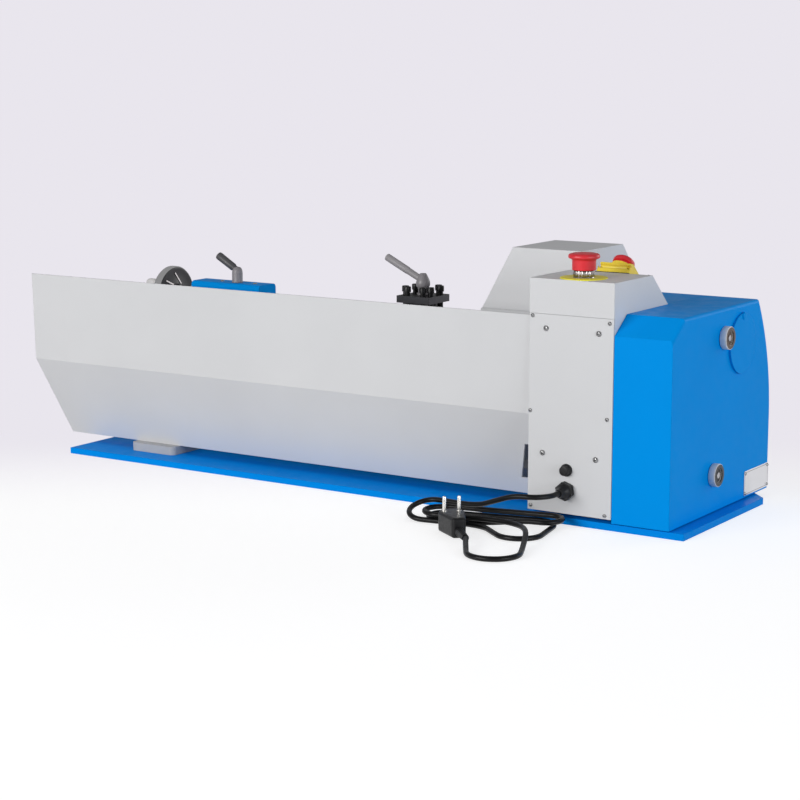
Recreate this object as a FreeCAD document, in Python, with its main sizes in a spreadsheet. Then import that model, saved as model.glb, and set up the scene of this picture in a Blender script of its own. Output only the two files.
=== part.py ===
import FreeCAD, Part
import math
import os
import Sketcher

# Bench metal lathe in millimetres.
# +X runs from the headstock to the tailstock, the operator stands at -Y, +Z is up.
# The spindle axis lies in the plane y = 0, and z = 0 is the underside of the chip tray.

Vector = FreeCAD.Vector
doc = FreeCAD.newDocument("metal_lathe")
sheet = doc.addObject("Spreadsheet::Sheet", "Sizes")

# Driving sizes: alias, value, what it is
SIZES = [
    ("spindle_height", 220, "spindle axis above the underside of the tray"),
    ("running_gap", 0.3, "gap between faces that move past each other"),
    ("shaft_play", 0.05, "radial play of a shaft in its bore"),
    ("overrun", 2, "how far a cut runs past the face it opens"),
    ("sheet_wall", 2, "wall of the folded sheet parts"),
    ("tray_length", 1002, "chip tray along X"),
    ("tray_rear", 202, "tray rear edge from the axis"),
    ("tray_front", 178, "tray front edge from the axis"),
    ("tray_height", 8.7, "tray surface above the bench"),
    ("tray_corner", 135, "clipped front corners"),
    ("tray_pad", 22, "radius of the spacers under the bolts"),
    ("bolt_span_x", 746, "bench bolts along X"),
    ("bolt_span_y", 160, "bench bolts along Y"),
    ("bolt_hole", 5.5, "radius of a bench bolt hole"),
    ("body_start", -402.4, "headstock end of the bed, headstock and control box"),
    ("bed_end", 413, "tailstock end of the bed"),
    ("bed_width", 125, "width over the ways"),
    ("bed_waist", 100, "width of the web between ways and foot"),
    ("bed_flange", 12, "thickness of the bottom flange"),
    ("bed_draft", 9, "height of the taper between web and flanges"),
    ("way_drop", 108, "flat ways below the spindle axis"),
    ("way_depth", 14, "depth of the way flange"),
    ("way_inner", 33, "half width of the gap between the ways"),
    ("vee_offset", 48, "front vee ridge in front of the axis"),
    ("vee_rise", 4, "height of the vee ridge"),
    ("foot_width", 80, "bed foot along X"),
    ("foot_rise", 12.3, "foot thickness"),
    ("foot_rear_tail", 167, "tailstock end foot behind the axis"),
    ("foot_front_tail", 118, "tailstock end foot in front of the axis"),
    ("foot_rear_head", 97, "headstock end foot behind the axis"),
    ("foot_front_head", 97, "headstock end foot in front of the axis"),
    ("foot_round", 8, "rounded foot corners"),
    ("bed_window", 74, "opening between two bed ribs along X"),
    ("bed_pitch", 92, "rib spacing"),
    ("bed_windows", 8, "number of openings in the bed"),
    ("bed_margin", 58, "solid bed before the first opening"),
    ("rack_start", -250, "headstock end of the rack"),
    ("rack_end", 402, "tailstock end of the rack"),
    ("rack_depth", 8, "depth of the rack in front of the web"),
    ("rack_floor", 81, "tips of the rack teeth"),
    ("head_length", 119.6, "headstock along X"),
    ("head_front", 92, "headstock front face from the axis"),
    ("head_rear", 100, "headstock rear face from the axis"),
    ("head_rise", 42.4, "headstock top above the axis"),
    ("head_bevel", 12, "slanted upper front edge"),
    ("head_foot", 75, "half width of the headstock foot"),
    ("head_foot_rise", 14, "height of the headstock foot"),
    ("bearing_radius", 45, "outer radius of the spindle bearings"),
    ("bearing_width", 20, "width of a spindle bearing"),
    ("spindle_radius", 25, "spindle at its bearings"),
    ("spindle_tail_radius", 22.5, "spindle behind the headstock"),
    ("spindle_bore", 19, "radius of the bore through the spindle"),
    ("spindle_start", -470, "rear end of the spindle"),
    ("flange_radius", 44, "spindle flange"),
    ("flange_width", 12, "thickness of the spindle flange"),
    ("register_radius", 30, "register that centres the chuck"),
    ("register_depth", 4, "length of the register"),
    ("box_rear", 205.6, "rear face of the control box from the axis"),
    ("box_floor", 14.9, "underside of the control box"),
    ("box_top", 312.9, "top of the control box"),
    ("box_seam", 268.4, "joint between rear cover and box"),
    ("box_top_front", 101.3, "front edge of the box top"),
    ("slope_front", 45, "front edge of the sloping switch panel"),
    ("gland_x", -339, "cable gland along X"),
    ("gland_z", 45.2, "cable gland height"),
    ("gland_radius", 8, "threaded neck of the gland"),
    ("gland_hex", 12.5, "gland nut across its corners, halved"),
    ("gland_nut", 9, "length of the gland nut"),
    ("gland_cone", 12, "length of the tapered cable sleeve"),
    ("fuse_z", 71.7, "fuse holder height"),
    ("fuse_radius", 8, "cap of the fuse holder"),
    ("fuse_length", 9, "how far the fuse cap stands out"),
    ("stop_x", -343.4, "emergency stop along X"),
    ("stop_y", 175.6, "emergency stop from the axis"),
    ("stop_ring", 30, "radius of the ring plate"),
    ("stop_ring_height", 1.2, "thickness of the ring plate"),
    ("stop_collar", 13.5, "radius of the collar"),
    ("stop_collar_height", 10.1, "top of the collar above the box"),
    ("stop_skirt", 15, "radius of the button skirt"),
    ("stop_skirt_height", 14.5, "height of the button skirt"),
    ("stop_cap", 20, "radius of the mushroom cap"),
    ("stop_cap_height", 6, "thickness of the cap at its rim"),
    ("stop_dome", 3, "crown of the cap"),
    ("stop_bore", 6, "bore that guides the button stem"),
    ("switch_x", -340, "switch along X"),
    ("switch_width", 54, "switch flange along X"),
    ("switch_length", 70, "switch flange along the slope"),
    ("switch_flange", 3, "thickness of the flange"),
    ("switch_body_inset", 5, "margin of the flange round the body"),
    ("switch_height", 15, "top of the switch body above the slope"),
    ("button_width", 22, "start and stop buttons along X"),
    ("button_length", 18, "start and stop buttons along the slope"),
    ("button_offset", 14, "button centre from the middle of the switch"),
    ("button_proud", 1.5, "button face above the switch body"),
    ("button_depth", 8, "depth of the button well"),
    ("lid_height", 9, "height of the lid"),
    ("lid_hinge_radius", 3, "radius of the lid hinge barrel"),
    ("lid_knob", 15, "radius of the raised stop pad"),
    ("knob_x", -318, "speed knob along X"),
    ("knob_z", 158, "height of the front controls"),
    ("knob_radius", 16, "speed knob"),
    ("knob_length", 17, "length of the speed knob"),
    ("selector_x", -366, "direction switch along X"),
    ("selector_width", 14, "direction rocker along X"),
    ("selector_height", 24, "direction rocker along Z"),
    ("plate_thickness", 3, "backing plate behind the change gears"),
    ("stud_radius", 4, "studs that hold the gear cover"),
    ("stud_upper_y", 56, "upper stud from the axis"),
    ("stud_upper_z", 234, "upper stud height"),
    ("stud_lower_y", 80, "lower stud from the axis"),
    ("stud_lower_z", 60, "lower stud height"),
    ("cover_start", -482.1, "outer face of the gear cover"),
    ("cover_wall", 2.5, "wall of the gear cover"),
    ("cover_rear", 204.6, "rear face of the gear cover"),
    ("cover_floor", 10.3, "underside of the gear cover"),
    ("cover_shoulder", 247.3, "height where the rear edge starts to slant"),
    ("cover_top", 271.2, "top of the gear cover"),
    ("cover_top_rear", 171.6, "rear edge of the cover top"),
    ("cover_top_front", 56, "front edge of the cover top in front of the axis"),
    ("cover_front", 102.4, "front face of the gear cover in front of the axis"),
    ("cover_front_z", 112, "height where the front face starts to curve"),
    ("cover_front_curve", 310, "radius of the curved front face"),
    ("cover_round", 5, "rounded edge of the cover"),
    ("cover_knob_radius", 15, "knurled nuts on the gear cover"),
    ("cover_knob_length", 10, "length of a knurled nut"),
    ("cover_knob_recess", 9, "radius of the recess in the nut"),
    ("cover_knob_recess_depth", 3, "depth of that recess"),
    ("disc_radius", 39.6, "cover disc over the spindle bore"),
    ("disc_thickness", 2.5, "cover disc thickness"),
    ("disc_drop", 36, "disc centre below its pivot"),
    ("disc_pin", 3, "pivot pin radius"),
    ("bore_window", 23, "radius of the hole behind the disc"),
    ("gear_module", 1.5, "module of the change gears"),
    ("gear_backlash", 0.1, "gap at each tooth flank"),
    ("gear_width", 12, "face width of the gears"),
    ("gear_start", -448, "outer face of the gears"),
    ("spindle_teeth", 40, "teeth of the spindle gear"),
    ("idler_teeth", 84, "teeth of the idler gear"),
    ("leadscrew_teeth", 36, "teeth of the leadscrew gear"),
    ("idler_stud", 7, "radius of the idler stud"),
    ("pulley_start", -428, "outer face of the pulleys"),
    ("pulley_width", 18, "width of the pulleys"),
    ("pulley_radius", 38, "spindle pulley"),
    ("pulley_ratio", 2, "motor turns for one spindle turn"),
    ("pulley_rim", 3, "rim that guides the belt"),
    ("belt_thickness", 3.6, "belt thickness"),
    ("motor_y", 150, "motor shaft behind the axis"),
    ("motor_z", 78, "motor shaft height"),
    ("motor_radius", 42, "motor body"),
    ("motor_length", 98, "motor along X"),
    ("motor_shaft", 8, "motor shaft radius"),
    ("leadscrew_y", -66, "leadscrew from the axis"),
    ("leadscrew_z", 54, "leadscrew height"),
    ("leadscrew_radius", 8, "leadscrew"),
    ("leadscrew_neck", 7, "ends of the leadscrew"),
    ("bracket_width", 16, "leadscrew bracket along X"),
    ("bracket_wall", 7, "wall round the leadscrew bearing"),
    ("quadrant_thickness", 4, "gear quadrant plate"),
    ("chuck_radius", 50, "chuck body"),
    ("chuck_length", 58, "chuck body along X"),
    ("chuck_bore", 15, "hole through the chuck"),
    ("chuck_bevel", 3, "bevelled rims of the chuck"),
    ("jaw_width", 13, "width of a chuck jaw"),
    ("jaw_inner", 9, "jaw tip from the axis"),
    ("jaw_outer", 44, "jaw heel from the axis"),
    ("jaw_depth", 20, "depth of the jaw slot"),
    ("jaw_proud", 21, "how far a jaw stands out"),
    ("guard_start", -278, "headstock end of the chuck guard"),
    ("guard_end_top", -174, "tailstock end of the guard top"),
    ("guard_end_low", -124, "tailstock end of the guard at its rear edge"),
    ("guard_rear", 60, "rear face of the guard"),
    ("guard_top", 333, "top of the guard"),
    ("guard_top_front", 58, "front edge of the guard top in front of the axis"),
    ("guard_front", 108, "front face of the guard in front of the axis"),
    ("guard_slant", 54, "drop from the guard top to its front face"),
    ("guard_front_low", 215, "lower edge of the front face"),
    ("guard_rear_low", 236, "lower edge of the rear face"),
    ("guard_rod", 6, "guard hinge rod radius"),
    ("guard_rod_z", 243, "guard hinge rod height"),
    ("guard_rod_depth", 35, "rod length inside the headstock"),
    ("splash_start", -282.4, "headstock end of the splash guard"),
    ("splash_end", 567, "tailstock end of the splash guard"),
    ("splash_end_low", 541, "tailstock end of its lower edge"),
    ("splash_top_y", 203.5, "splash guard top edge"),
    ("splash_top_z", 265.4, "splash guard top edge"),
    ("splash_bend_y", 199.5, "splash guard bend"),
    ("splash_bend_z", 137.5, "splash guard bend"),
    ("splash_low_y", 151, "splash guard lower bend"),
    ("splash_flange", 22, "flange that stands on the bed foot"),
    ("splash_notch", 18.5, "notch beside the control box, along X"),
    ("splash_notch_low", 15.5, "what the notch leaves lower down, along X"),
    ("splash_notch_z", 93, "top of the notch"),
    ("splash_notch_floor", 44, "bottom of the notch"),
    ("carriage_x", 8, "centre of the carriage and tool post"),
    ("saddle_length", 160, "saddle along X"),
    ("saddle_front", 102, "saddle front edge"),
    ("saddle_rear", 80, "saddle rear edge"),
    ("saddle_top", 132, "top of the saddle"),
    ("saddle_wing", 32, "depth of the cut between the saddle wings"),
    ("cross_width", 84, "cross slide along X"),
    ("cross_front", 42, "cross slide front edge"),
    ("cross_rear", 112, "cross slide rear edge"),
    ("cross_top", 152, "top of the cross slide"),
    ("dovetail_height", 10, "height of the cross slide dovetail"),
    ("dovetail_top", 30, "half width of the dovetail at its top"),
    ("dovetail_base", 24, "half width of the dovetail at its base"),
    ("cross_screw_z", 120, "cross feed screw height"),
    ("cross_wheel", 28, "cross feed handwheel radius"),
    ("apron_length", 146, "apron along X"),
    ("apron_rear", 65, "apron rear face"),
    ("apron_floor", 32, "underside of the apron"),
    ("apron_round", 8, "rounded apron edges"),
    ("carriage_wheel", 38, "carriage handwheel radius"),
    ("carriage_wheel_x", -56, "carriage handwheel from the carriage centre"),
    ("pinion_teeth", 14, "teeth of the rack pinion"),
    ("wheel_shaft", 6, "handwheel shaft radius"),
    ("wheel_width", 12, "handwheel rim width"),
    ("grip_radius", 6.5, "handwheel grip"),
    ("grip_length", 34, "length of a handwheel grip"),
    ("dial_radius", 19, "graduated dial"),
    ("dial_width", 12, "graduated dial width"),
    ("lever_x", 44, "half nut lever from the carriage centre"),
    ("lever_z", 84, "half nut lever height"),
    ("lever_length", 50, "half nut lever"),
    ("lever_hub", 11, "half nut lever hub radius"),
    ("post_y", -1.5, "tool post centre from the axis"),
    ("swivel_radius", 36, "round base of the compound slide"),
    ("swivel_height", 11, "thickness of the round base"),
    ("compound_rail", 9, "height of the compound dovetail"),
    ("compound_rail_top", 20, "half width of the compound dovetail at its top"),
    ("compound_rail_base", 15, "half width of the compound dovetail at its base"),
    ("top_slide_length", 124, "top slide along X"),
    ("top_slide_width", 56, "top slide along Y"),
    ("top_slide_shift", 2, "top slide centre from the tool post"),
    ("top_travel", 40, "travel of the top slide toward the chuck"),
    ("top_slide_top", 198, "top of the top slide"),
    ("top_wheel", 22, "compound handwheel radius"),
    ("post_side", 54.5, "tool post side"),
    ("post_top", 250, "top of the tool post"),
    ("post_slot_floor", 208, "floor of the tool slots"),
    ("post_slot_top", 240, "roof of the tool slots"),
    ("post_slot_depth", 12.5, "depth of the tool slots"),
    ("post_stud", 6, "tool post stud radius"),
    ("screw_radius", 4, "tool screws"),
    ("screw_head", 5.2, "heads of the tool screws"),
    ("screw_head_height", 8, "height of a screw head"),
    ("screw_neck", 5, "screw shown below its head"),
    ("screw_grip", 24, "screw inside the tool post"),
    ("screw_near", 13, "screw place along a side"),
    ("screw_far", 21, "screw place from the centre"),
    ("post_hub", 9, "clamp hub radius"),
    ("post_hub_neck", 6.8, "neck of the clamp hub"),
    ("post_hub_height", 29, "height of the clamp hub"),
    ("post_lever_reach", 67, "clamp lever along X"),
    ("post_lever_rise", 30, "rise of the clamp lever"),
    ("post_lever_radius", 4.2, "clamp lever rod"),
    ("tail_start", 283, "headstock side of the tailstock"),
    ("tail_end", 411, "rear of the tailstock"),
    ("tail_step", 9, "tailstock base shorter than its top at each end"),
    ("tail_base_width", 120, "tailstock base along Y"),
    ("tail_base_top", 136, "top of the tailstock base"),
    ("tail_waist", 36, "half width of the tailstock column at its foot"),
    ("tail_neck_z", 192, "height where the column is narrowest"),
    ("tail_half", 21, "half width of the tailstock barrel"),
    ("tail_rise", 27, "tailstock top above the axis"),
    ("tail_round", 6, "rounded tailstock edges"),
    ("quill_radius", 13, "quill"),
    ("quill_start", 262, "front end of the quill"),
    ("quill_end", 386, "rear end of the quill"),
    ("quill_thread", 7.5, "bore for the quill screw"),
    ("centre_radius", 8.6, "dead centre in the quill"),
    ("centre_body", 10.5, "dead centre in front of the quill"),
    ("centre_length", 36, "dead centre in front of the quill"),
    ("centre_shank", 40, "dead centre inside the quill"),
    ("tail_wheel", 44, "tailstock handwheel radius"),
    ("tail_wheel_x", 457, "tailstock handwheel rim along X"),
    ("tail_wheel_grip_x", 30, "length of its grip"),
    ("lock_x", 336, "quill lock lever along X"),
    ("lock_y", 4, "quill lock lever from the axis"),
    ("lock_radius", 6, "quill lock post"),
    ("lock_height", 20, "height of the lever on its post"),
    ("lock_reach", 38, "quill lock lever along X"),
    ("lock_rise", 20, "rise of the quill lock lever"),
    ("cord_radius", 3.5, "mains cord"),
    ("hank_x", -255, "middle of the hank"),
    ("hank_y", 249.6, "middle of the hank"),
    ("hank_turn", 11.5, "hank direction in degrees from X"),
    ("hank_pitch", 7.9, "spacing of neighbouring strands"),
    ("hank_outer", 25, "outer strand from the middle line of the hank"),
    ("hank_fore", 64, "straight strands on the plug side of the middle"),
    ("hank_aft", 71, "straight strands on the gland side of the middle"),
    ("plug_length", 58, "plug body"),
    ("plug_width", 35, "plug body at its pins"),
    ("plug_tail_width", 17, "plug body at its cord end"),
    ("plug_height", 26, "plug body thickness"),
    ("plug_sleeve", 34, "cord sleeve of the plug"),
    ("plug_sleeve_radius", 6, "cord sleeve at the plug"),
    ("plug_sleeve_z", 9, "middle of the cord sleeve above the bench"),
    ("pin_radius", 2.4, "plug pins"),
    ("pin_length", 19, "plug pins"),
    ("pin_spacing", 19, "plug pins apart"),
]

for row, (alias, value, note) in enumerate(SIZES, start=1):
    sheet.set(f"A{row}", note)
    sheet.set(f"B{row}", str(value))
    sheet.setAlias(f"B{row}", alias)
doc.recompute()


class Size:
    """A length that knows its value and the sheet expression that gives it."""

    def __init__(self, value, text):
        self.value = float(value)
        self.text = text

    def __add__(self, other):
        other = as_size(other)
        return Size(self.value + other.value, f"({self.text} + {other.text})")

    def __sub__(self, other):
        other = as_size(other)
        return Size(self.value - other.value, f"({self.text} - {other.text})")

    def __mul__(self, factor):
        factor = as_size(factor)
        return Size(self.value * factor.value, f"({self.text} * {factor.text})")

    def __truediv__(self, divisor):
        divisor = as_size(divisor)
        return Size(self.value / divisor.value, f"({self.text} / {divisor.text})")

    def __neg__(self):
        return Size(-self.value, f"(-1 * {self.text})")

    def __radd__(self, other):
        return as_size(other) + self

    def __rsub__(self, other):
        return as_size(other) - self

    def __rmul__(self, factor):
        return self * factor


def as_size(number):
    if isinstance(number, Size):
        return number
    return Size(number, repr(float(number)))


class SheetSizes:
    """Gives each alias of the sheet as a Size."""

    def __getattr__(self, alias):
        return Size(sheet.get(alias), f"Sizes.{alias}")


s = SheetSizes()


def bind(feature, prop, size):
    """Ties a property to the sheet."""
    size = as_size(size)
    if "." not in prop:
        setattr(feature, prop, size.value)
    feature.setExpression(prop, size.text)


class Circle:
    """A round outline."""

    def __init__(self, across, up, radius):
        self.centre = (as_size(across), as_size(up))
        self.radius = as_size(radius)


class Arc:
    """An arc from the corner before it to the corner after it; side +1 has its centre on the left."""

    def __init__(self, radius, side):
        self.radius = as_size(radius)
        self.side = side


class HalfTurn:
    """A half circle from the corner before it to the corner after it; side +1 has its centre on the left."""

    def __init__(self, side):
        self.side = side


def rectangle(low_a, high_a, low_b, high_b):
    return [(low_a, low_b), (high_a, low_b), (high_a, high_b), (low_a, high_b)]


def arc_centre(start, end, radius, side):
    middle = (start + end) * 0.5
    half = (end - start) * 0.5
    left = Vector(-half.y, half.x, 0).normalize()
    return middle + left * (side * math.sqrt(max(radius**2 - half.Length**2, 0)))


class Outline:
    """Fills one sketch with outlines whose places are tied to the sheet."""

    def __init__(self, sketch):
        self.sketch = sketch

    def hold(self, kind, geometry, point, size):
        index = self.sketch.addConstraint(Sketcher.Constraint(kind, geometry, point, size.value))
        self.sketch.setExpression(f"Constraints[{index}]", size.text)

    def add_circle(self, circle):
        across, up = circle.centre
        shape = Part.Circle(Vector(across.value, up.value, 0), Vector(0, 0, 1), circle.radius.value)
        geometry = self.sketch.addGeometry(shape, False)
        self.hold("DistanceX", geometry, 3, across)
        self.hold("DistanceY", geometry, 3, up)
        index = self.sketch.addConstraint(Sketcher.Constraint("Radius", geometry, circle.radius.value))
        self.sketch.setExpression(f"Constraints[{index}]", circle.radius.text)

    def add_loop(self, loop):
        corners = []
        arcs = {}
        for item in loop:
            if isinstance(item, (Arc, HalfTurn)):
                arcs[len(corners) - 1] = item
            else:
                corners.append((as_size(item[0]), as_size(item[1])))
        ends = []
        for place, corner in enumerate(corners):
            following = corners[(place + 1) % len(corners)]
            start = Vector(corner[0].value, corner[1].value, 0)
            end = Vector(following[0].value, following[1].value, 0)
            if place in arcs and isinstance(arcs[place], HalfTurn):
                ends.append(self.add_half_turn(corner, following, arcs[place].side))
            elif place in arcs:
                ends.append(self.add_arc(start, end, arcs[place]))
            else:
                geometry = self.sketch.addGeometry(Part.LineSegment(start, end), False)
                ends.append((geometry, 1, 2))
        for place, corner in enumerate(corners):
            geometry, first, last = ends[place]
            after, after_first, after_last = ends[(place + 1) % len(corners)]
            joint = Sketcher.Constraint("Coincident", geometry, last, after, after_first)
            self.sketch.addConstraint(joint)
            self.hold("DistanceX", geometry, first, corner[0])
            self.hold("DistanceY", geometry, first, corner[1])

    def add_half_turn(self, corner, following, side):
        start = Vector(corner[0].value, corner[1].value, 0)
        end = Vector(following[0].value, following[1].value, 0)
        centre = (start + end) * 0.5
        angle = math.atan2(start.y - centre.y, start.x - centre.x)
        turn = (angle, angle + math.pi) if side > 0 else (angle - math.pi, angle)
        circle = Part.Circle(centre, Vector(0, 0, 1), (start - centre).Length)
        geometry = self.sketch.addGeometry(Part.ArcOfCircle(circle, *turn), False)
        upright = abs(end.y - start.y) > abs(end.x - start.x)
        middle = [(corner[axis] + following[axis]) / 2 for axis in (0, 1)]
        self.hold("DistanceX" if upright else "DistanceY", geometry, 3, middle[0] if upright else middle[1])
        return (geometry, 1, 2) if side > 0 else (geometry, 2, 1)

    def add_arc(self, start, end, arc):
        centre = arc_centre(start, end, arc.radius.value, arc.side)
        angles = [math.atan2(point.y - centre.y, point.x - centre.x) for point in (start, end)]
        if arc.side < 0:
            angles.reverse()
        circle = Part.Circle(centre, Vector(0, 0, 1), arc.radius.value)
        geometry = self.sketch.addGeometry(Part.ArcOfCircle(circle, angles[0], angles[1]), False)
        index = self.sketch.addConstraint(Sketcher.Constraint("Radius", geometry, arc.radius.value))
        self.sketch.setExpression(f"Constraints[{index}]", arc.radius.text)
        return (geometry, 1, 2) if arc.side > 0 else (geometry, 2, 1)


pieces = []
cuts = []


class Piece:
    """A body of pads, pockets and turned profiles, drawn on its own origin planes."""

    def __init__(self, label):
        self.body = doc.addObject("PartDesign::Body", label)
        self.body.Label = label
        pieces.append(self.body)

    def draw(self, plane, shift, loops):
        """Draws outlines on an origin plane that is shifted in its own directions."""
        sketch = self.body.newObject("Sketcher::SketchObject", f"{plane}_outline")
        support = [part for part in self.body.Origin.OriginFeatures if part.Role == f"{plane}_Plane"]
        sketch.AttachmentSupport = [(support[0], "")]
        sketch.MapMode = "FlatFace"
        for letter, size in zip("xyz", shift):
            size = as_size(size)
            if size.value:
                sketch.setExpression(f"AttachmentOffset.Base.{letter}", size.text)
        outline = Outline(sketch)
        for loop in loops:
            if isinstance(loop, Circle):
                outline.add_circle(loop)
            else:
                outline.add_loop(loop)
        sketch.Visibility = False
        return sketch

    def add(self, plane, low, high, *loops):
        """Pads outlines from low to high along the axis that the plane faces."""
        low, high = as_size(low), as_size(high)
        level = -high if plane == "XZ" else low
        pad = self.body.newObject("PartDesign::Pad", "Pad")
        pad.Profile = self.draw(plane, (0, 0, level), loops)
        bind(pad, "Length", high - low)
        return pad

    def cut(self, plane, low, high, *loops):
        """Pockets outlines from high down to low along the axis that the plane faces."""
        low, high = as_size(low), as_size(high)
        level = -low if plane == "XZ" else high
        pocket = self.body.newObject("PartDesign::Pocket", "Pocket")
        pocket.Profile = self.draw(plane, (0, 0, level), loops)
        bind(pocket, "Length", high - low)
        cuts.append(pocket)
        return pocket

    def spin(self, kind, axis, centre, loops):
        x, y, z = centre
        plane, shift, line = {
            "X": ("XZ", (0, z, -as_size(y)), "H_Axis"),
            "Y": ("YZ", (0, z, x), "H_Axis"),
            "Z": ("XZ", (x, 0, -as_size(y)), "V_Axis"),
        }[axis]
        if axis == "Z":
            loops = [[item if isinstance(item, (Arc, HalfTurn)) else (item[1], item[0]) for item in loop] for loop in loops]
        feature = self.body.newObject(f"PartDesign::{kind}", kind)
        sketch = self.draw(plane, shift, loops)
        feature.Profile = sketch
        feature.ReferenceAxis = (sketch, [line])
        feature.Angle = 360
        return feature

    def turn(self, axis, centre, *loops):
        """Revolves outlines of (place along the axis, radius) about an axis through centre."""
        return self.spin("Revolution", axis, centre, loops)

    def groove(self, axis, centre, *loops):
        """Cuts what such outlines sweep."""
        feature = self.spin("Groove", axis, centre, loops)
        cuts.append(feature)
        return feature

    def soften(self, kind, size, pick):
        """Rounds or bevels the edges that pick chooses."""
        doc.recompute()
        base = self.body.Tip
        names = [f"Edge{place}" for place, edge in enumerate(base.Shape.Edges, start=1) if pick(edge)]
        feature = self.body.newObject(f"PartDesign::{kind}", kind)
        feature.Base = (base, names)
        bind(feature, "Radius" if kind == "Fillet" else "Size", size)
        return feature

    def around(self, feature, count):
        """Repeats a feature round the normal of its sketch."""
        pattern = self.body.newObject("PartDesign::PolarPattern", "Around")
        pattern.Originals = [feature]
        pattern.Axis = (feature.Profile[0], ["N_Axis"])
        pattern.Angle = 360
        pattern.Occurrences = int(count.value)
        pattern.setExpression("Occurrences", count.text)
        self.body.Tip = pattern
        return pattern

    def along(self, feature, length, count):
        """Repeats a feature along the first direction of its sketch."""
        pattern = self.body.newObject("PartDesign::LinearPattern", "Along")
        pattern.Originals = [feature]
        pattern.Direction = (feature.Profile[0], ["H_Axis"])
        bind(pattern, "Length", length)
        pattern.Occurrences = int(count.value)
        pattern.setExpression("Occurrences", count.text)
        self.body.Tip = pattern
        return pattern


def edge_runs(edge, direction):
    """True for a straight edge along one axis."""
    if edge.Curve.TypeId != "Part::GeomLine":
        return False
    return abs(edge.Curve.Direction.dot(direction)) > 0.999


def edge_at(edge, axis, size):
    """True for an edge that lies wholly at one place on an axis."""
    box = edge.BoundBox
    low, high = {"x": (box.XMin, box.XMax), "y": (box.YMin, box.YMax), "z": (box.ZMin, box.ZMax)}[axis]
    slack = s.shaft_play.value
    return abs(low - size.value) < slack and abs(high - size.value) < slack


ALONG_X = Vector(1, 0, 0)
ALONG_Y = Vector(0, 1, 0)
ALONG_Z = Vector(0, 0, 1)

# Shared places, worked out from the sheet
AXIS = s.spindle_height
TRAY_TOP = s.tray_height
FOOT_TOP = s.tray_height + s.foot_rise
WAY = s.spindle_height - s.way_drop
HEAD_END = s.body_start + s.head_length
HEAD_TOP = s.spindle_height + s.head_rise
BOX_END = HEAD_END
FLANGE_FACE = HEAD_END + s.running_gap * 6 + s.flange_width
CHUCK_FACE = FLANGE_FACE + s.chuck_length
MID_SLOPE_Y = (s.box_top_front + s.slope_front) / 2
MID_SLOPE_Z = (s.box_top + HEAD_TOP) / 2


def vee_notch(gap):
    """The outline of the front vee ridge and the space over it, wider by a gap."""
    half = s.vee_rise + gap
    return [
        (-s.vee_offset - half - s.overrun, WAY - s.overrun),
        (-s.vee_offset, WAY + s.vee_rise + gap),
        (-s.vee_offset + half + s.overrun, WAY - s.overrun),
    ]


# Chip tray and bed

def make_tray():
    tray = Piece("chip_tray")
    half = s.tray_length / 2
    wall = s.sheet_wall

    def outline(inset):
        corner = s.tray_corner + inset * (math.sqrt(2) - 1)
        return [
            (-half + inset, s.tray_rear - inset),
            (-half + inset, -s.tray_front + corner),
            (-half + corner, -s.tray_front + inset),
            (half - corner, -s.tray_front + inset),
            (half - inset, -s.tray_front + corner),
            (half - inset, s.tray_rear - inset),
        ]

    tray.add("XY", 0, s.tray_height, outline(0 * wall))
    tray.cut("XY", 0, s.tray_height - wall, outline(wall))
    bolts = [(x, y) for x in (-s.bolt_span_x / 2, s.bolt_span_x / 2) for y in (-s.bolt_span_y / 2, s.bolt_span_y / 2)]
    tray.add("XY", 0, s.tray_height - wall / 2, *[Circle(x, y, s.tray_pad) for x, y in bolts])
    tray.cut("XY", 0, s.tray_height, *[Circle(x, y, s.bolt_hole) for x, y in bolts])
    return tray


def make_bed():
    bed = Piece("bed")
    half = s.bed_width / 2
    waist = s.bed_waist / 2
    low_web = FOOT_TOP + s.bed_flange + s.bed_draft
    high_web = WAY - s.way_depth - s.bed_draft
    ridge = -s.vee_offset
    profile = [
        (-half, FOOT_TOP), (half, FOOT_TOP),
        (half, FOOT_TOP + s.bed_flange), (waist, low_web), (waist, high_web),
        (half, WAY - s.way_depth), (half, WAY),
        (ridge + s.vee_rise, WAY), (ridge, WAY + s.vee_rise), (ridge - s.vee_rise, WAY),
        (-half, WAY), (-half, WAY - s.way_depth), (-waist, high_web), (-waist, low_web),
        (-half, FOOT_TOP + s.bed_flange),
    ]
    bed.add("YZ", s.body_start, s.bed_end, profile)
    first = s.body_start + s.bed_margin
    window = bed.cut(
        "XY", FOOT_TOP, WAY,
        rectangle(first, first + s.bed_window, -s.way_inner, s.way_inner),
    )
    bed.along(window, s.bed_pitch * (s.bed_windows - 1), s.bed_windows)
    reach = s.bolt_span_x / 2 + s.foot_width / 2
    feet = (
        rectangle(s.body_start, s.foot_width - reach, -s.foot_front_head, s.foot_rear_head),
        rectangle(reach - s.foot_width, reach, -s.foot_front_tail, s.foot_rear_tail),
    )
    for plan in feet:
        bed.add("XY", TRAY_TOP, FOOT_TOP, plan)
    foot_low = TRAY_TOP.value
    foot_high = FOOT_TOP.value

    def foot_corner(edge):
        box = edge.BoundBox
        upright = edge_runs(edge, ALONG_Z) and abs(box.ZMin - foot_low) < 0.01 and abs(box.ZMax - foot_high) < 0.01
        return upright and max(abs(box.YMin), abs(box.YMax)) > half.value

    bed.soften("Fillet", s.foot_round, foot_corner)
    bolts = [
        Circle(x, y, s.bolt_hole)
        for x in (-s.bolt_span_x / 2, s.bolt_span_x / 2)
        for y in (-s.bolt_span_y / 2, s.bolt_span_y / 2)
    ]
    bed.cut("XY", TRAY_TOP, FOOT_TOP, *bolts)
    return bed


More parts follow.
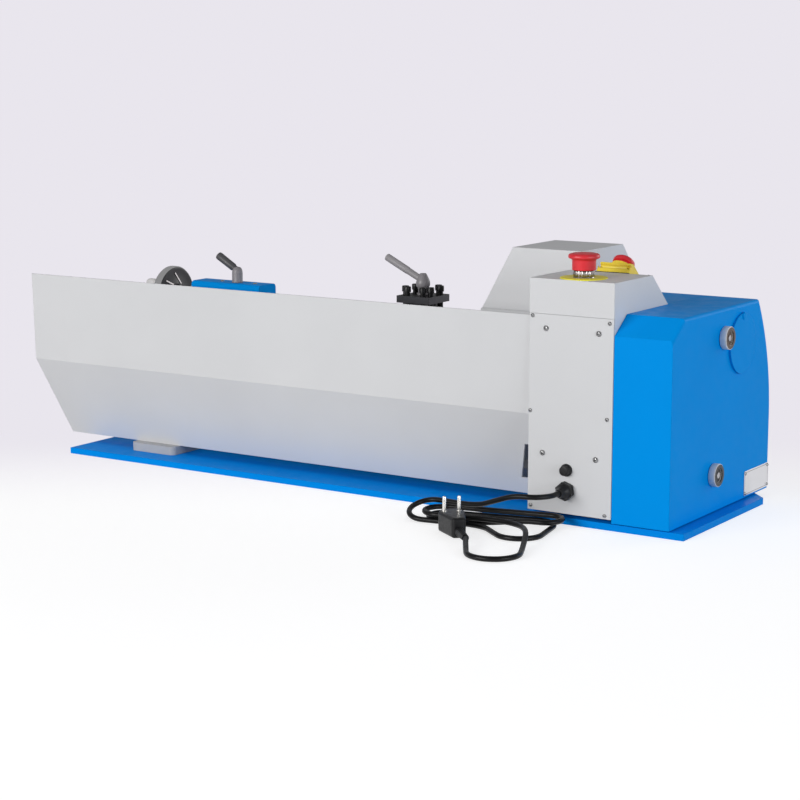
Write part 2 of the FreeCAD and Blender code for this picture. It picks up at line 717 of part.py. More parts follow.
def make_rack():
    """Toothed rack under the front way, with a tooth gap straight over the pinion."""
    rack = Piece("rack")
    waist = s.bed_waist / 2
    web_top = WAY - s.way_depth - s.bed_draft
    rise = s.bed_draft * 2 / (s.bed_width - s.bed_waist)
    rack.add("YZ", s.rack_start, s.rack_end, [
        (-waist - s.rack_depth, s.rack_floor), (-waist, s.rack_floor), (-waist, web_top),
        (-waist - s.rack_depth, web_top + rise * s.rack_depth),
    ])
    pitch = s.gear_module * math.pi
    slant = math.tan(math.radians(20))
    half = pitch / 4 + s.gear_backlash
    root = s.rack_floor + s.gear_module * 2.25
    wheel_x = s.carriage_x + s.carriage_wheel_x
    before = int((wheel_x.value - s.rack_start.value) / pitch.value)
    after = int((s.rack_end.value - wheel_x.value) / pitch.value)
    first = wheel_x - pitch * before
    narrow = half - s.gear_module * 1.25 * slant
    wide = half + s.gear_module * slant
    gap = rack.cut("XZ", -waist - s.rack_depth - s.overrun, -waist + s.overrun, [
        (first - wide, s.rack_floor), (first + wide, s.rack_floor), (first + narrow, root), (first - narrow, root),
    ])
    count = before + after - 1
    rack.along(gap, pitch * (count - 1), as_size(count))
    return rack


# Headstock, spindle and control box

def make_headstock():
    head = Piece("headstock")
    head.add("YZ", s.body_start, HEAD_END, [
        (-s.head_foot, WAY), (s.head_foot, WAY),
        (s.head_rear, WAY + s.head_foot_rise), (s.head_rear, HEAD_TOP),
        (-s.head_front + s.head_bevel, HEAD_TOP), (-s.head_front, HEAD_TOP - s.head_bevel),
        (-s.head_front, WAY + s.head_foot_rise),
    ])
    head.cut("YZ", s.body_start, HEAD_END, vee_notch(0))
    head.cut("YZ", s.body_start, HEAD_END, Circle(0, AXIS, s.spindle_radius + s.overrun))
    for low in (s.body_start, HEAD_END - s.bearing_width):
        head.cut("YZ", low, low + s.bearing_width, Circle(0, AXIS, s.bearing_radius))
    rod_y = s.guard_rear + s.guard_rod - s.sheet_wall / 2
    rod_hole = Circle(rod_y, s.guard_rod_z, s.guard_rod + s.shaft_play)
    head.cut("YZ", HEAD_END - s.guard_rod_depth, HEAD_END, rod_hole)
    knob_hole = Circle(s.knob_x, s.knob_z, s.knob_radius / 4 + s.shaft_play)
    head.cut("XZ", -s.head_front, -s.head_front + s.knob_length, knob_hole)
    seat = rectangle(
        s.selector_x - s.selector_width / 2 - s.running_gap, s.selector_x + s.selector_width / 2 + s.running_gap,
        s.knob_z - s.selector_height / 2 - s.running_gap, s.knob_z + s.selector_height / 2 + s.running_gap,
    )
    head.cut("XZ", -s.head_front, -s.head_front + s.selector_height / 2, seat)
    return head


def make_spindle_bearings():
    """Two equal sealed ball bearings, one at each end of the headstock."""
    rings = []
    for low in (s.body_start, HEAD_END - s.bearing_width):
        ring = rod("X", (low, 0, AXIS), s.bearing_radius, s.bearing_width)
        hollow = rod("X", (low, 0, AXIS), s.spindle_radius + s.shaft_play, s.bearing_width)
        rings.append(boolean("Part::Cut", ring, hollow))
    return group("spindle_bearings", rings)


def make_spindle():
    spindle = Piece("spindle")
    flange = FLANGE_FACE - s.flange_width
    spindle.turn("X", (0, 0, AXIS), [
        (s.spindle_start, s.spindle_bore), (s.spindle_start, s.spindle_tail_radius),
        (s.body_start, s.spindle_tail_radius), (s.body_start, s.spindle_radius),
        (flange, s.spindle_radius), (flange, s.flange_radius),
        (FLANGE_FACE, s.flange_radius), (FLANGE_FACE, s.register_radius),
        (FLANGE_FACE + s.register_depth, s.register_radius), (FLANGE_FACE + s.register_depth, s.spindle_bore),
    ])
    return spindle


def make_control_box():
    box = Piece("control_box")
    wall = s.sheet_wall
    rise = (s.box_top - HEAD_TOP) / (s.box_top_front - s.slope_front)
    box.add("YZ", s.body_start, BOX_END, [
        (s.head_rear, s.box_floor), (s.box_rear - wall, s.box_floor),
        (s.box_rear - wall, s.box_seam), (s.box_rear, s.box_seam),
        (s.box_rear, s.box_top), (s.box_top_front, s.box_top),
        (s.slope_front, HEAD_TOP), (s.head_rear, HEAD_TOP),
    ])
    inner_front = s.slope_front + wall * 3
    box.cut("YZ", s.body_start + wall, BOX_END - wall, [
        (s.head_rear + wall, s.box_floor + wall), (s.box_rear + s.overrun, s.box_floor + wall),
        (s.box_rear + s.overrun, s.box_seam - wall * 5), (s.box_rear - wall * 2, s.box_seam - wall * 5),
        (s.box_rear - wall * 2, s.box_top - wall), (s.box_top_front + wall, s.box_top - wall),
        (inner_front, HEAD_TOP + wall + (wall * 3) * rise - wall * rise - wall), (s.head_rear + wall, HEAD_TOP + wall),
    ])
    shaft_way = Circle(s.motor_y, s.motor_z, s.motor_shaft + s.overrun)
    box.cut("YZ", s.body_start, s.body_start + wall, shaft_way)
    box.cut("XY", s.box_top - wall, s.box_top, Circle(s.stop_x, s.stop_y, s.stop_collar - s.overrun))
    return box


def make_rear_cover():
    cover = Piece("rear_cover")
    wall = s.sheet_wall
    inset = s.running_gap
    cover.add(
        "XZ", s.box_rear - wall, s.box_rear,
        rectangle(s.body_start + inset, BOX_END - inset, s.box_floor, s.box_seam - inset),
    )
    holes = [Circle(s.gland_x, s.gland_z, s.gland_radius), Circle(s.gland_x, s.fuse_z, s.fuse_radius * 0.7)]
    cover.cut("XZ", s.box_rear - wall, s.box_rear, *holes)
    return cover


def make_gland():
    """Hexagonal gland with the tapered sleeve that the cord leaves by."""
    gland = Piece("cable_gland")
    hexagon = [
        (s.gland_x + s.gland_hex * math.cos(turn * math.pi / 3), s.gland_z + s.gland_hex * math.sin(turn * math.pi / 3))
        for turn in range(6)
    ]
    gland.add("XZ", s.box_rear, s.box_rear + s.gland_nut, hexagon)
    wall = s.sheet_wall
    nut = s.box_rear + s.gland_nut
    gland.turn("Y", (s.gland_x, 0, s.gland_z), [
        (s.box_rear - wall * 3, 0), (s.box_rear - wall * 3, s.gland_radius),
        (nut, s.gland_radius), (nut, s.gland_hex * 0.8),
        (nut + s.gland_nut / 3, s.gland_hex * 0.74), (nut + s.gland_nut / 2, s.cord_radius * 2),
        (nut + s.gland_cone, s.cord_radius * 1.35), (nut + s.gland_cone, 0),
    ])
    return gland


def make_fuse_holder():
    fuse = Piece("fuse_holder")
    fuse.turn("Y", (s.gland_x, 0, s.fuse_z), [
        (s.box_rear - s.fuse_length * 1.5, 0), (s.box_rear - s.fuse_length * 1.5, s.fuse_radius * 0.7),
        (s.box_rear, s.fuse_radius * 0.7), (s.box_rear, s.fuse_radius),
        (s.box_rear + s.fuse_length * 0.3, s.fuse_radius), (s.box_rear + s.fuse_length * 0.3, s.fuse_radius * 0.8),
        (s.box_rear + s.fuse_length, s.fuse_radius * 0.75), (s.box_rear + s.fuse_length, 0),
    ])
    return fuse


# Emergency stop and switch

def make_stop():
    seat = Piece("estop_collar")
    centre = (s.stop_x, s.stop_y, 0)
    collar = s.box_top + s.stop_collar_height
    ring = s.box_top + s.stop_ring_height
    neck = s.stop_collar - s.overrun
    seat.turn("Z", centre, [
        (s.box_top - s.sheet_wall * 6, s.stop_bore), (s.box_top - s.sheet_wall * 6, neck),
        (s.box_top, neck), (s.box_top, s.stop_ring), (ring, s.stop_ring),
        (ring, s.stop_collar), (collar, s.stop_collar), (collar, s.stop_bore),
    ])
    button = Piece("estop_button")
    low = collar + s.running_gap
    skirt = low + s.stop_skirt_height
    cap = skirt + s.stop_cap_height
    well = low + s.stop_skirt_height * 0.6
    stem = s.stop_bore - s.running_gap
    button.turn("Z", centre, [
        (low - s.stop_collar_height, 0), (low - s.stop_collar_height, stem),
        (well, stem), (well, s.stop_collar + s.running_gap),
        (low, s.stop_collar + s.running_gap), (low, s.stop_skirt), (skirt, s.stop_skirt),
        (skirt, s.stop_cap), (skirt + s.stop_cap_height * 0.6, s.stop_cap),
        (cap, s.stop_cap * 0.8), (cap + s.stop_dome * 0.4, 0),
    ])
    return seat, button


def tilt(body):
    """Sets a body that is drawn flat round the origin on the sloping switch panel."""
    slope = FreeCAD.Vector(0, s.box_top_front.value - s.slope_front.value, s.box_top.value - HEAD_TOP.value)
    turn = FreeCAD.Rotation(ALONG_X, math.degrees(math.atan2(slope.z, slope.y)))
    body.Placement = FreeCAD.Placement(Vector(s.switch_x.value, MID_SLOPE_Y.value, MID_SLOPE_Z.value), turn)


def make_switch():
    gap = s.running_gap
    base = Piece("switch_body")
    half_w = s.switch_width / 2
    half_l = s.switch_length / 2
    inner_w = half_w - s.switch_body_inset
    inner_l = half_l - s.switch_body_inset
    base.add("XY", gap, s.switch_flange, rectangle(-half_w, half_w, -half_l, half_l))
    base.add("XY", s.switch_flange, s.switch_height, rectangle(-inner_w, inner_w, -inner_l, inner_l))
    wells = []
    for side in (-1, 1):
        middle = s.button_offset * side
        wells.append(rectangle(
            -s.button_width / 2 - gap, s.button_width / 2 + gap,
            middle - s.button_length / 2 - gap, middle + s.button_length / 2 + gap,
        ))
    base.cut("XY", s.switch_height - s.button_depth, s.switch_height, *wells)
    barrel = s.lid_hinge_radius
    hinge = inner_l - barrel
    base.cut("YZ", -inner_w, inner_w, [
        (inner_l - barrel * 2 - gap, s.switch_height - barrel), (inner_l + gap, s.switch_height - barrel),
        (inner_l + gap, s.switch_height), (inner_l - barrel * 2 - gap, s.switch_height),
    ])
    tilt(base.body)
    for label, side in (("stop_button", -1), ("start_button", 1)):
        button = Piece(label)
        middle = s.button_offset * side
        button.add(
            "XY", s.switch_height - s.button_depth * 0.45, s.switch_height + s.button_proud,
            rectangle(
                -s.button_width / 2, s.button_width / 2,
                middle - s.button_length / 2, middle + s.button_length / 2,
            ),
        )
        tilt(button.body)
    lid = Piece("switch_lid")
    low = s.switch_height + gap
    high = low + s.lid_height
    lid.add("YZ", -inner_w, inner_w, [
        (-inner_l, low), (hinge, low), (hinge, low + barrel), (hinge + barrel, low + barrel),
        (hinge + barrel, high - s.lid_height / 3), (hinge - barrel, high), (-inner_l + barrel, high),
        (-inner_l, high - s.lid_height / 3),
    ])
    hollow_w = s.button_width / 2 + s.sheet_wall
    hollow_l = s.button_offset + s.button_length / 2 + s.sheet_wall
    lid.cut("XY", low, low + s.lid_height / 2, rectangle(-hollow_w, hollow_w, -hollow_l, hollow_l))
    lid.turn("X", (0, hinge, low + gap), [(-inner_w * 0.8, 0), (-inner_w * 0.8, barrel), (inner_w * 0.8, barrel), (inner_w * 0.8, 0)])
    lid.add("XY", high - s.lid_height / 3, high + s.lid_height / 3, Circle(0, -s.button_offset * 0.6, s.lid_knob))
    tilt(lid.body)


def make_front_controls():
    knob = Piece("speed_knob")
    face = -s.head_front - s.sheet_wall
    knob.turn("Y", (s.knob_x, 0, s.knob_z), [
        (face - s.knob_length, 0), (face - s.knob_length, s.knob_radius * 0.78),
        (face - s.knob_length * 0.88, s.knob_radius * 0.86), (face, s.knob_radius),
        (face, s.knob_radius / 4), (face + s.knob_length * 0.8, s.knob_radius / 4),
        (face + s.knob_length * 0.8, 0),
    ])
    rocker = Piece("direction_switch")
    low = s.knob_z - s.selector_height / 2
    high = s.knob_z + s.selector_height / 2
    proud = -s.head_front - s.sheet_wall * 2.5
    rocker.add("YZ", s.selector_x - s.selector_width / 2, s.selector_x + s.selector_width / 2, [
        (-s.head_front + s.sheet_wall, low + s.overrun), (-s.head_front + s.sheet_wall, high - s.overrun),
        (proud, high - s.overrun * 0.5), (-s.head_front - s.sheet_wall * 1.5, s.knob_z),
        (proud, low + s.overrun * 0.5),
    ])
    return knob, rocker


# Drive and change gears behind the blue cover

def cover_profile(inset):
    """Side view of the gear cover, drawn smaller by an inset."""
    slant = inset * 0.5
    return [
        (s.cover_rear - inset, s.cover_floor + inset), (s.cover_rear - inset, s.cover_shoulder - slant),
        (s.cover_top_rear - slant, s.cover_top - inset), (-s.cover_top_front + inset, s.cover_top - inset),
        Arc(s.cover_front_curve - inset, 1),
        (-s.cover_front + inset, s.cover_front_z), (-s.cover_front + inset, s.cover_floor + inset),
    ]


def make_gear_cover():
    cover = Piece("gear_cover")
    end = s.body_start - s.running_gap
    cover.add("YZ", s.cover_start, end, cover_profile(s.cover_wall * 0))

    def outer_rim(edge):
        return edge_at(edge, "x", s.cover_start) and edge.BoundBox.ZMin > s.cover_floor.value + s.cover_round.value

    cover.soften("Fillet", s.cover_round, outer_rim)
    cover.cut("YZ", s.cover_start + s.cover_wall, end, cover_profile(s.cover_wall))
    pivot = s.spindle_height + s.disc_drop
    cover.cut(
        "YZ", s.cover_start, s.cover_start + s.cover_wall,
        Circle(0, AXIS, s.bore_window), Circle(0, pivot, s.disc_pin + s.running_gap),
        Circle(s.stud_upper_y, s.stud_upper_z, s.stud_radius + s.running_gap),
        Circle(s.stud_lower_y, s.stud_lower_z, s.stud_radius + s.running_gap),
    )
    return cover


def make_cover_knob(label, y, z):
    knob = Piece(label)
    face = s.cover_start - s.running_gap
    tip = face - s.cover_knob_length
    bore = s.stud_radius + s.shaft_play
    rim = s.cover_knob_length / 6
    knob.turn("X", (0, y, z), [
        (face, bore), (face, s.cover_knob_radius - rim), (face - rim, s.cover_knob_radius),
        (tip + rim, s.cover_knob_radius), (tip, s.cover_knob_radius - rim),
        (tip, s.cover_knob_recess), (tip + s.cover_knob_recess_depth, s.cover_knob_recess),
        (tip + s.cover_knob_recess_depth, bore),
    ])
    return knob


def make_bore_cover():
    disc = Piece("bore_cover")
    pivot = s.spindle_height + s.disc_drop
    near = s.cover_start - s.running_gap
    far = near - s.disc_thickness
    disc.add("YZ", far, near, Circle(0, AXIS, s.disc_radius))
    disc.turn("X", (0, 0, pivot), [
        (far - s.disc_pin / 2, 0), (far - s.disc_pin / 2, s.disc_pin * 1.5), (far, s.disc_pin * 1.7),
        (far, s.disc_pin), (s.cover_start + s.cover_wall, s.disc_pin),
        (s.cover_start + s.cover_wall, 0),
    ])
    return disc


def make_gear_plate():
    """Backing plate of the gear case, with the two studs that the cover hangs on."""
    plate = Piece("gear_plate")
    low = s.body_start - s.plate_thickness
    inset = s.cover_wall + s.running_gap * 2
    plate.add("YZ", low, s.body_start, cover_profile(inset))
    tip = s.cover_start - s.running_gap - s.cover_knob_length + s.cover_knob_recess_depth / 2
    studs = [(s.stud_upper_y, s.stud_upper_z), (s.stud_lower_y, s.stud_lower_z)]
    plate.add("YZ", tip, low, *[Circle(y, z, s.stud_radius) for y, z in studs])
    plate.cut(
        "YZ", low, s.body_start,
        Circle(0, AXIS, s.spindle_radius + s.overrun),
        Circle(s.motor_y, s.motor_z, s.motor_shaft + s.overrun),
        Circle(s.leadscrew_y, s.leadscrew_z, s.leadscrew_radius + s.running_gap),
    )
    return plate


def involute(angle):
    return math.tan(angle) - angle


def tooth_gap(teeth, radius):
    """Half width of the gap between two teeth at a radius, for a 20 degree involute."""
    pressure = math.radians(20)
    pitch = s.gear_module.value * teeth / 2
    base = pitch * math.cos(pressure)
    at_radius = math.acos(min(1, base / radius)) if radius > base else 0
    half_tooth = math.pi / (2 * teeth) + involute(pressure) - involute(at_radius)
    return radius * math.sin(math.pi / teeth - half_tooth) + s.gear_backlash.value


def pitch_radius(teeth):
    return s.gear_module * teeth / 2


def cut_teeth(piece, plane, centre, teeth, low, high):
    """Cuts the gaps between teeth round a centre in a plane; the first one points along its first direction."""
    count = int(teeth.value)
    module = s.gear_module
    tip = pitch_radius(teeth) + module
    root = pitch_radius(teeth) - module * 1.25
    narrow = module * (tooth_gap(count, root.value) / module.value)
    wide = module * (tooth_gap(count, tip.value) / module.value)
    flare = tip + module / 2
    spread = wide + (wide - narrow) * 0.25
    gap = piece.body.newObject("PartDesign::Pocket", "ToothGap")
    level = -as_size(low) if plane == "XZ" else as_size(high)
    gap.Profile = piece.draw(plane, (*centre, level), [
        [(root, -narrow), (flare, -spread), (flare, spread), (root, narrow)],
    ])
    bind(gap, "Length", as_size(high) - low)
    cuts.append(gap)
    return piece.around(gap, teeth)


def make_gear(label, teeth, bore, low, width, axis="X"):
    """Spur gear on its own axis, with a tooth gap pointing along the first direction of its plane."""
    gear = Piece(label)
    plane = {"X": "YZ", "Y": "XZ"}[axis]
    tip = pitch_radius(teeth) + s.gear_module
    gear.add(plane, low, low + width, Circle(0, 0, tip))
    cut_teeth(gear, plane, (0, 0), teeth, low, low + width)
    if bore is not None:
        gear.cut(plane, low, low + width, Circle(0, 0, bore))
    return gear


def gear_places():
    """Centres of the three gears, and the angle of the first gap of each so that they mesh."""
    teeth = [int(count.value) for count in (s.spindle_teeth, s.idler_teeth, s.leadscrew_teeth)]
    radii = [pitch_radius(count).value for count in teeth]
    first = Vector(0, AXIS.value, 0)
    last = Vector(s.leadscrew_y.value, s.leadscrew_z.value, 0)
    span = last - first
    reach_one = radii[0] + radii[1]
    reach_two = radii[1] + radii[2]
    along = (reach_one**2 - reach_two**2 + span.Length**2) / (2 * span.Length)
    aside = math.sqrt(reach_one**2 - along**2)
    forward = Vector(span).normalize()
    middle = first + forward * along + Vector(-forward.y, forward.x, 0) * aside
    centres = [first, middle, last]
    gaps = [0.0]
    for place in (0, 1):
        here, after = centres[place], centres[place + 1]
        toward = math.atan2(after.y - here.y, after.x - here.x)
        pitch_here = 2 * math.pi / teeth[place]
        pitch_after = 2 * math.pi / teeth[place + 1]
        tooth = gaps[place] + pitch_here / 2
        lead = (toward - tooth) % pitch_here
        back = toward + math.pi
        gaps.append(back + lead * teeth[place] / teeth[place + 1])
    return centres, gaps


def set_gear(gear, centre, angle):
    turn = FreeCAD.Rotation(ALONG_X, math.degrees(angle))
    gear.body.Placement = FreeCAD.Placement(Vector(0, centre.x, centre.y), turn)


def make_change_gears():
    centres, gaps = gear_places()
    first = make_gear("spindle_gear", s.spindle_teeth, s.spindle_tail_radius, s.gear_start, s.gear_width)
    idler = make_gear("idler_gear", s.idler_teeth, s.idler_stud + s.shaft_play, s.gear_start, s.gear_width)
    last = make_gear("leadscrew_gear", s.leadscrew_teeth, s.leadscrew_neck, s.gear_start, s.gear_width)
    for gear, centre, angle in zip((first, idler, last), centres, gaps):
        set_gear(gear, centre, angle)
    return centres


def make_quadrant(centres):
    """Slotted arm round the leadscrew that carries the stud of the idler gear."""
    arm = Piece("gear_quadrant")
    low = s.gear_start + s.gear_width + s.running_gap * 5
    high = low + s.quadrant_thickness
    arm_radius = s.idler_stud * 2.2
    reach = centres[1] - centres[2]
    angle = math.degrees(math.atan2(reach.y, reach.x))
    length = pitch_radius(s.idler_teeth) + pitch_radius(s.leadscrew_teeth)
    hub = s.leadscrew_radius + s.bracket_wall
    arm.add("YZ", low, high, [
        (0, -hub), (length, -arm_radius), HalfTurn(1), (length, arm_radius), (0, hub), HalfTurn(1),
    ])
    arm.add("YZ", high, s.body_start - s.plate_thickness, Circle(0, 0, hub))
    arm.add("YZ", s.gear_start - s.running_gap * 5, low, Circle(length, 0, s.idler_stud))
    arm.cut("YZ", low, s.body_start, Circle(0, 0, s.leadscrew_neck + s.running_gap))
    slot = s.idler_stud * 0.6
    arm.cut("YZ", low, high, [
        (length * 0.4, -slot), (length * 0.7, -slot), HalfTurn(1), (length * 0.7, slot), (length * 0.4, slot), HalfTurn(1),
    ])
    turn = FreeCAD.Rotation(ALONG_X, angle)
    arm.body.Placement = FreeCAD.Placement(Vector(0, centres[2].x, centres[2].y), turn)
    return arm


def make_pulley(label, y, z, radius, bore):
    pulley = Piece(label)
    low = s.pulley_start
    high = low + s.pulley_width
    rim = s.pulley_rim
    pulley.turn("X", (0, y, z), [
        (low, bore), (low, radius + rim), (low + rim / 2, radius + rim), (low + rim / 2, radius),
        (high - rim / 2, radius), (high - rim / 2, radius + rim), (high, radius + rim), (high, bore),
    ])
    return pulley


def make_motor():
    motor_pulley_radius = s.pulley_radius / s.pulley_ratio
    make_pulley("spindle_pulley", 0, AXIS, s.pulley_radius, s.spindle_tail_radius)
    pulley = make_pulley("motor_pulley", s.motor_y, s.motor_z, motor_pulley_radius, 0)
    start = s.body_start + s.sheet_wall * 2
    pulley.turn("X", (0, s.motor_y, s.motor_z), [
        (s.pulley_start, 0), (s.pulley_start, s.motor_shaft),
        (start + s.motor_shaft, s.motor_shaft), (start + s.motor_shaft, 0),
    ])
    motor = Piece("motor")
    bell = s.motor_length / 6
    end = start + s.motor_length
    hole = s.motor_shaft + s.shaft_play
    motor.turn("X", (0, s.motor_y, s.motor_z), [
        (start, hole), (start, s.motor_radius * 0.7), (start + bell / 2, s.motor_radius),
        (start + bell, s.motor_radius), (start + bell, s.motor_radius * 0.94),
        (end - bell, s.motor_radius * 0.94), (end - bell, s.motor_radius),
        (end - bell / 2, s.motor_radius), (end, s.motor_radius * 0.7), (end, 0),
        (start + bell * 2, 0), (start + bell * 2, hole),
    ])
    floor = s.box_floor + s.sheet_wall
    motor.add(
        "YZ", start + bell * 1.5, end - bell * 1.5,
        rectangle(s.motor_y - s.motor_radius * 0.8, s.motor_y + s.motor_radius * 0.8, floor, s.motor_z - s.motor_radius * 0.7),
    )
    return motor


def belt_loop(offset):
    """Outer line of the belt round both pulleys, as lines and arcs in the plane x = 0."""
    centre_one = Vector(0, 0, AXIS.value)
    centre_two = Vector(0, s.motor_y.value, s.motor_z.value)
    radius_one = s.pulley_radius.value + offset
    radius_two = s.pulley_radius.value / s.pulley_ratio.value + offset
    forward = centre_two - centre_one
    lean = math.asin((radius_one - radius_two) / forward.Length)
    forward.normalize()
    side = Vector(0, -forward.z, forward.y)
    upper = forward * math.sin(lean) + side * math.cos(lean)
    lower = forward * math.sin(lean) - side * math.cos(lean)
    edges = [
        Part.LineSegment(centre_one + upper * radius_one, centre_two + upper * radius_two).toShape(),
        Part.Arc(
            centre_two + upper * radius_two, centre_two + forward * radius_two, centre_two + lower * radius_two,
        ).toShape(),
        Part.LineSegment(centre_two + lower * radius_two, centre_one + lower * radius_one).toShape(),
        Part.Arc(
            centre_one + lower * radius_one, centre_one - forward * radius_one, centre_one + upper * radius_one,
        ).toShape(),
    ]
    return Part.Wire(edges)


def make_belt():
    clearance = s.running_gap.value
    width = (s.pulley_width - s.pulley_rim - s.running_gap * 2).value
    outer = Part.Face(belt_loop(clearance + s.belt_thickness.value)).extrude(ALONG_X * width)
    inner = Part.Face(belt_loop(clearance)).extrude(ALONG_X * width)
    belt = doc.addObject("Part::Feature", "drive_belt")
    belt.Shape = outer.cut(inner)
    start = s.pulley_start + s.pulley_rim / 2 + s.running_gap
    belt.Placement = FreeCAD.Placement(Vector(start.value, 0, 0), FreeCAD.Rotation())
    belt.Label = "drive_belt"
    pieces.append(belt)
    return belt


def make_leadscrew():
    screw = Piece("leadscrew")
    centre = (0, s.leadscrew_y, s.leadscrew_z)
    screw.turn("X", centre, [
        (s.gear_start - s.running_gap * 5, 0), (s.gear_start - s.running_gap * 5, s.leadscrew_neck),
        (s.body_start, s.leadscrew_neck), (s.body_start, s.leadscrew_radius),
        (s.bed_end - s.bracket_width * 1.5, s.leadscrew_radius), (s.bed_end - s.bracket_width * 1.5, s.leadscrew_neck),
        (s.bed_end, s.leadscrew_neck), (s.bed_end, 0),
    ])
    return screw


def make_leadscrew_brackets():
    """Bearing blocks on the bed for both ends of the leadscrew."""
    blocks = []
    hub = s.leadscrew_radius + s.bracket_wall
    web_low = FOOT_TOP + s.bed_flange + s.bed_draft
    places = (
        (s.body_start + s.running_gap, s.leadscrew_radius),
        (s.bed_end - s.bracket_width - s.running_gap, s.leadscrew_neck),
    )
    for low, radius in places:
        ring = rod("X", (low, s.leadscrew_y, s.leadscrew_z), hub, s.bracket_width)
        depth = -s.bed_waist / 2 - s.leadscrew_y
        web = block((low, s.leadscrew_y, web_low), (s.bracket_width, depth, s.leadscrew_z + hub - web_low))
        body = boolean("Part::Fuse", ring, web)
        hole = rod("X", (low, s.leadscrew_y, s.leadscrew_z), radius + s.shaft_play, s.bracket_width)
        blocks.append(boolean("Part::Cut", body, hole))
    return group("leadscrew_brackets", blocks)


# Primitives for groups of equal pieces

def place(feature, axis, origin):
    """Turns a primitive that stands along Z to an axis, and puts its origin in place."""
    turn = {"X": FreeCAD.Rotation(ALONG_Y, 90), "Y": FreeCAD.Rotation(ALONG_X, -90), "Z": FreeCAD.Rotation()}[axis]
    feature.Placement = FreeCAD.Placement(Vector(), turn)
    for letter, size in zip("xyz", origin):
        feature.setExpression(f"Placement.Base.{letter}", as_size(size).text)


def rod(axis, origin, radius, length):
    cylinder = doc.addObject("Part::Cylinder", "Rod")
    bind(cylinder, "Radius", radius)
    bind(cylinder, "Height", length)
    place(cylinder, axis, origin)
    return cylinder


def block(origin, extent):
    box = doc.addObject("Part::Box", "Block")
    for prop, size in zip(("Length", "Width", "Height"), extent):
        bind(box, prop, size)
    place(box, "Z", origin)
    return box


def boolean(kind, base, tool):
    result = doc.addObject(kind, "Joined")
    result.Base = base
    result.Tool = tool
    return result


def group(label, members):
    compound = doc.addObject("Part::Compound", label)
    compound.Links = members
    compound.Label = label
    pieces.append(compound)
    return compound


# Chuck and its guard

def make_chuck():
    body = Piece("chuck_body")
    register = s.register_radius
    bevel = s.chuck_bevel
    body.turn("X", (0, 0, AXIS), [
        (FLANGE_FACE, register), (FLANGE_FACE, s.chuck_radius - bevel), (FLANGE_FACE + bevel, s.chuck_radius),
        (CHUCK_FACE - bevel, s.chuck_radius), (CHUCK_FACE, s.chuck_radius - bevel), (CHUCK_FACE, s.chuck_bore),
        (FLANGE_FACE + s.register_depth, s.chuck_bore), (FLANGE_FACE + s.register_depth, register),
    ])
    half = s.jaw_width / 2 + s.running_gap
    slot_low = s.chuck_bore / 2
    slot = body.body.newObject("PartDesign::Pocket", "Slot")
    level = CHUCK_FACE
    sketch = body.draw("YZ", (0, AXIS, level), [rectangle(-half, half, slot_low, s.chuck_radius + s.overrun)])
    slot.Profile = sketch
    bind(slot, "Length", s.jaw_depth + s.running_gap)
    cuts.append(slot)
    body.around(slot, as_size(3))
    return body


def make_jaws():
    """Three stepped jaws, equal and a third of a turn apart."""
    heel = CHUCK_FACE - s.jaw_depth
    span = s.jaw_outer - s.jaw_inner
    step = span / 3
    for number in range(3):
        jaw = Piece(f"chuck_jaw_{number + 1}")
        jaw.add("XZ", -s.jaw_width / 2, s.jaw_width / 2, [
            (heel, s.jaw_inner), (CHUCK_FACE + s.jaw_proud, s.jaw_inner),
            (CHUCK_FACE + s.jaw_proud, s.jaw_inner + step), (CHUCK_FACE + s.jaw_proud * 0.6, s.jaw_inner + step),
            (CHUCK_FACE + s.jaw_proud * 0.6, s.jaw_inner + step * 2), (CHUCK_FACE + s.jaw_proud * 0.2, s.jaw_inner + step * 2),
            (CHUCK_FACE + s.jaw_proud * 0.2, s.jaw_outer), (heel, s.jaw_outer),
        ])
        turn = FreeCAD.Rotation(ALONG_X, 120 * number)
        jaw.body.Placement = FreeCAD.Placement(Vector(0, 0, AXIS.value), turn)


def make_chuck_guard():
    """Folded hood over the chuck, hinged on a rod that turns in the headstock."""
    guard = Piece("chuck_guard")
    end = s.guard_end_low + s.sheet_wall * 8
    guard.add("YZ", s.guard_start, end, [
        (s.guard_rear, s.guard_rear_low), (s.guard_rear, s.guard_top),
        (-s.guard_top_front, s.guard_top), (-s.guard_front, s.guard_top - s.guard_slant),
        (-s.guard_front, s.guard_front_low),
    ])
    lean = (s.guard_end_low - s.guard_end_top) / (s.guard_top - s.guard_rod_z)
    depth = s.guard_top - s.guard_front_low
    guard.cut("XZ", -s.guard_front - s.overrun, s.guard_rear + s.overrun, [
        (s.guard_end_top, s.guard_top), (s.guard_end_top + lean * depth, s.guard_front_low),
        (s.guard_end_low + s.guard_front, s.guard_front_low), (s.guard_end_low + s.guard_front, s.guard_top),
    ])
    doc.recompute()
    base = guard.body.Tip
    open_faces = []
    for place_in_list, face in enumerate(base.Shape.Faces, start=1):
        normal = face.normalAt(0, 0)
        if normal.x < -0.9 or normal.z < -0.5:
            open_faces.append(f"Face{place_in_list}")
    shell = guard.body.newObject("PartDesign::Thickness", "Shell")
    shell.Base = (base, open_faces)
    shell.Reversed = True
    bind(shell, "Value", s.sheet_wall)
    rod_y = s.guard_rear + s.guard_rod - s.sheet_wall / 2
    rod_end = s.guard_end_low - s.guard_rod
    guard.add("YZ", HEAD_END - s.guard_rod_depth + s.running_gap, rod_end, Circle(rod_y, s.guard_rod_z, s.guard_rod))
    return guard


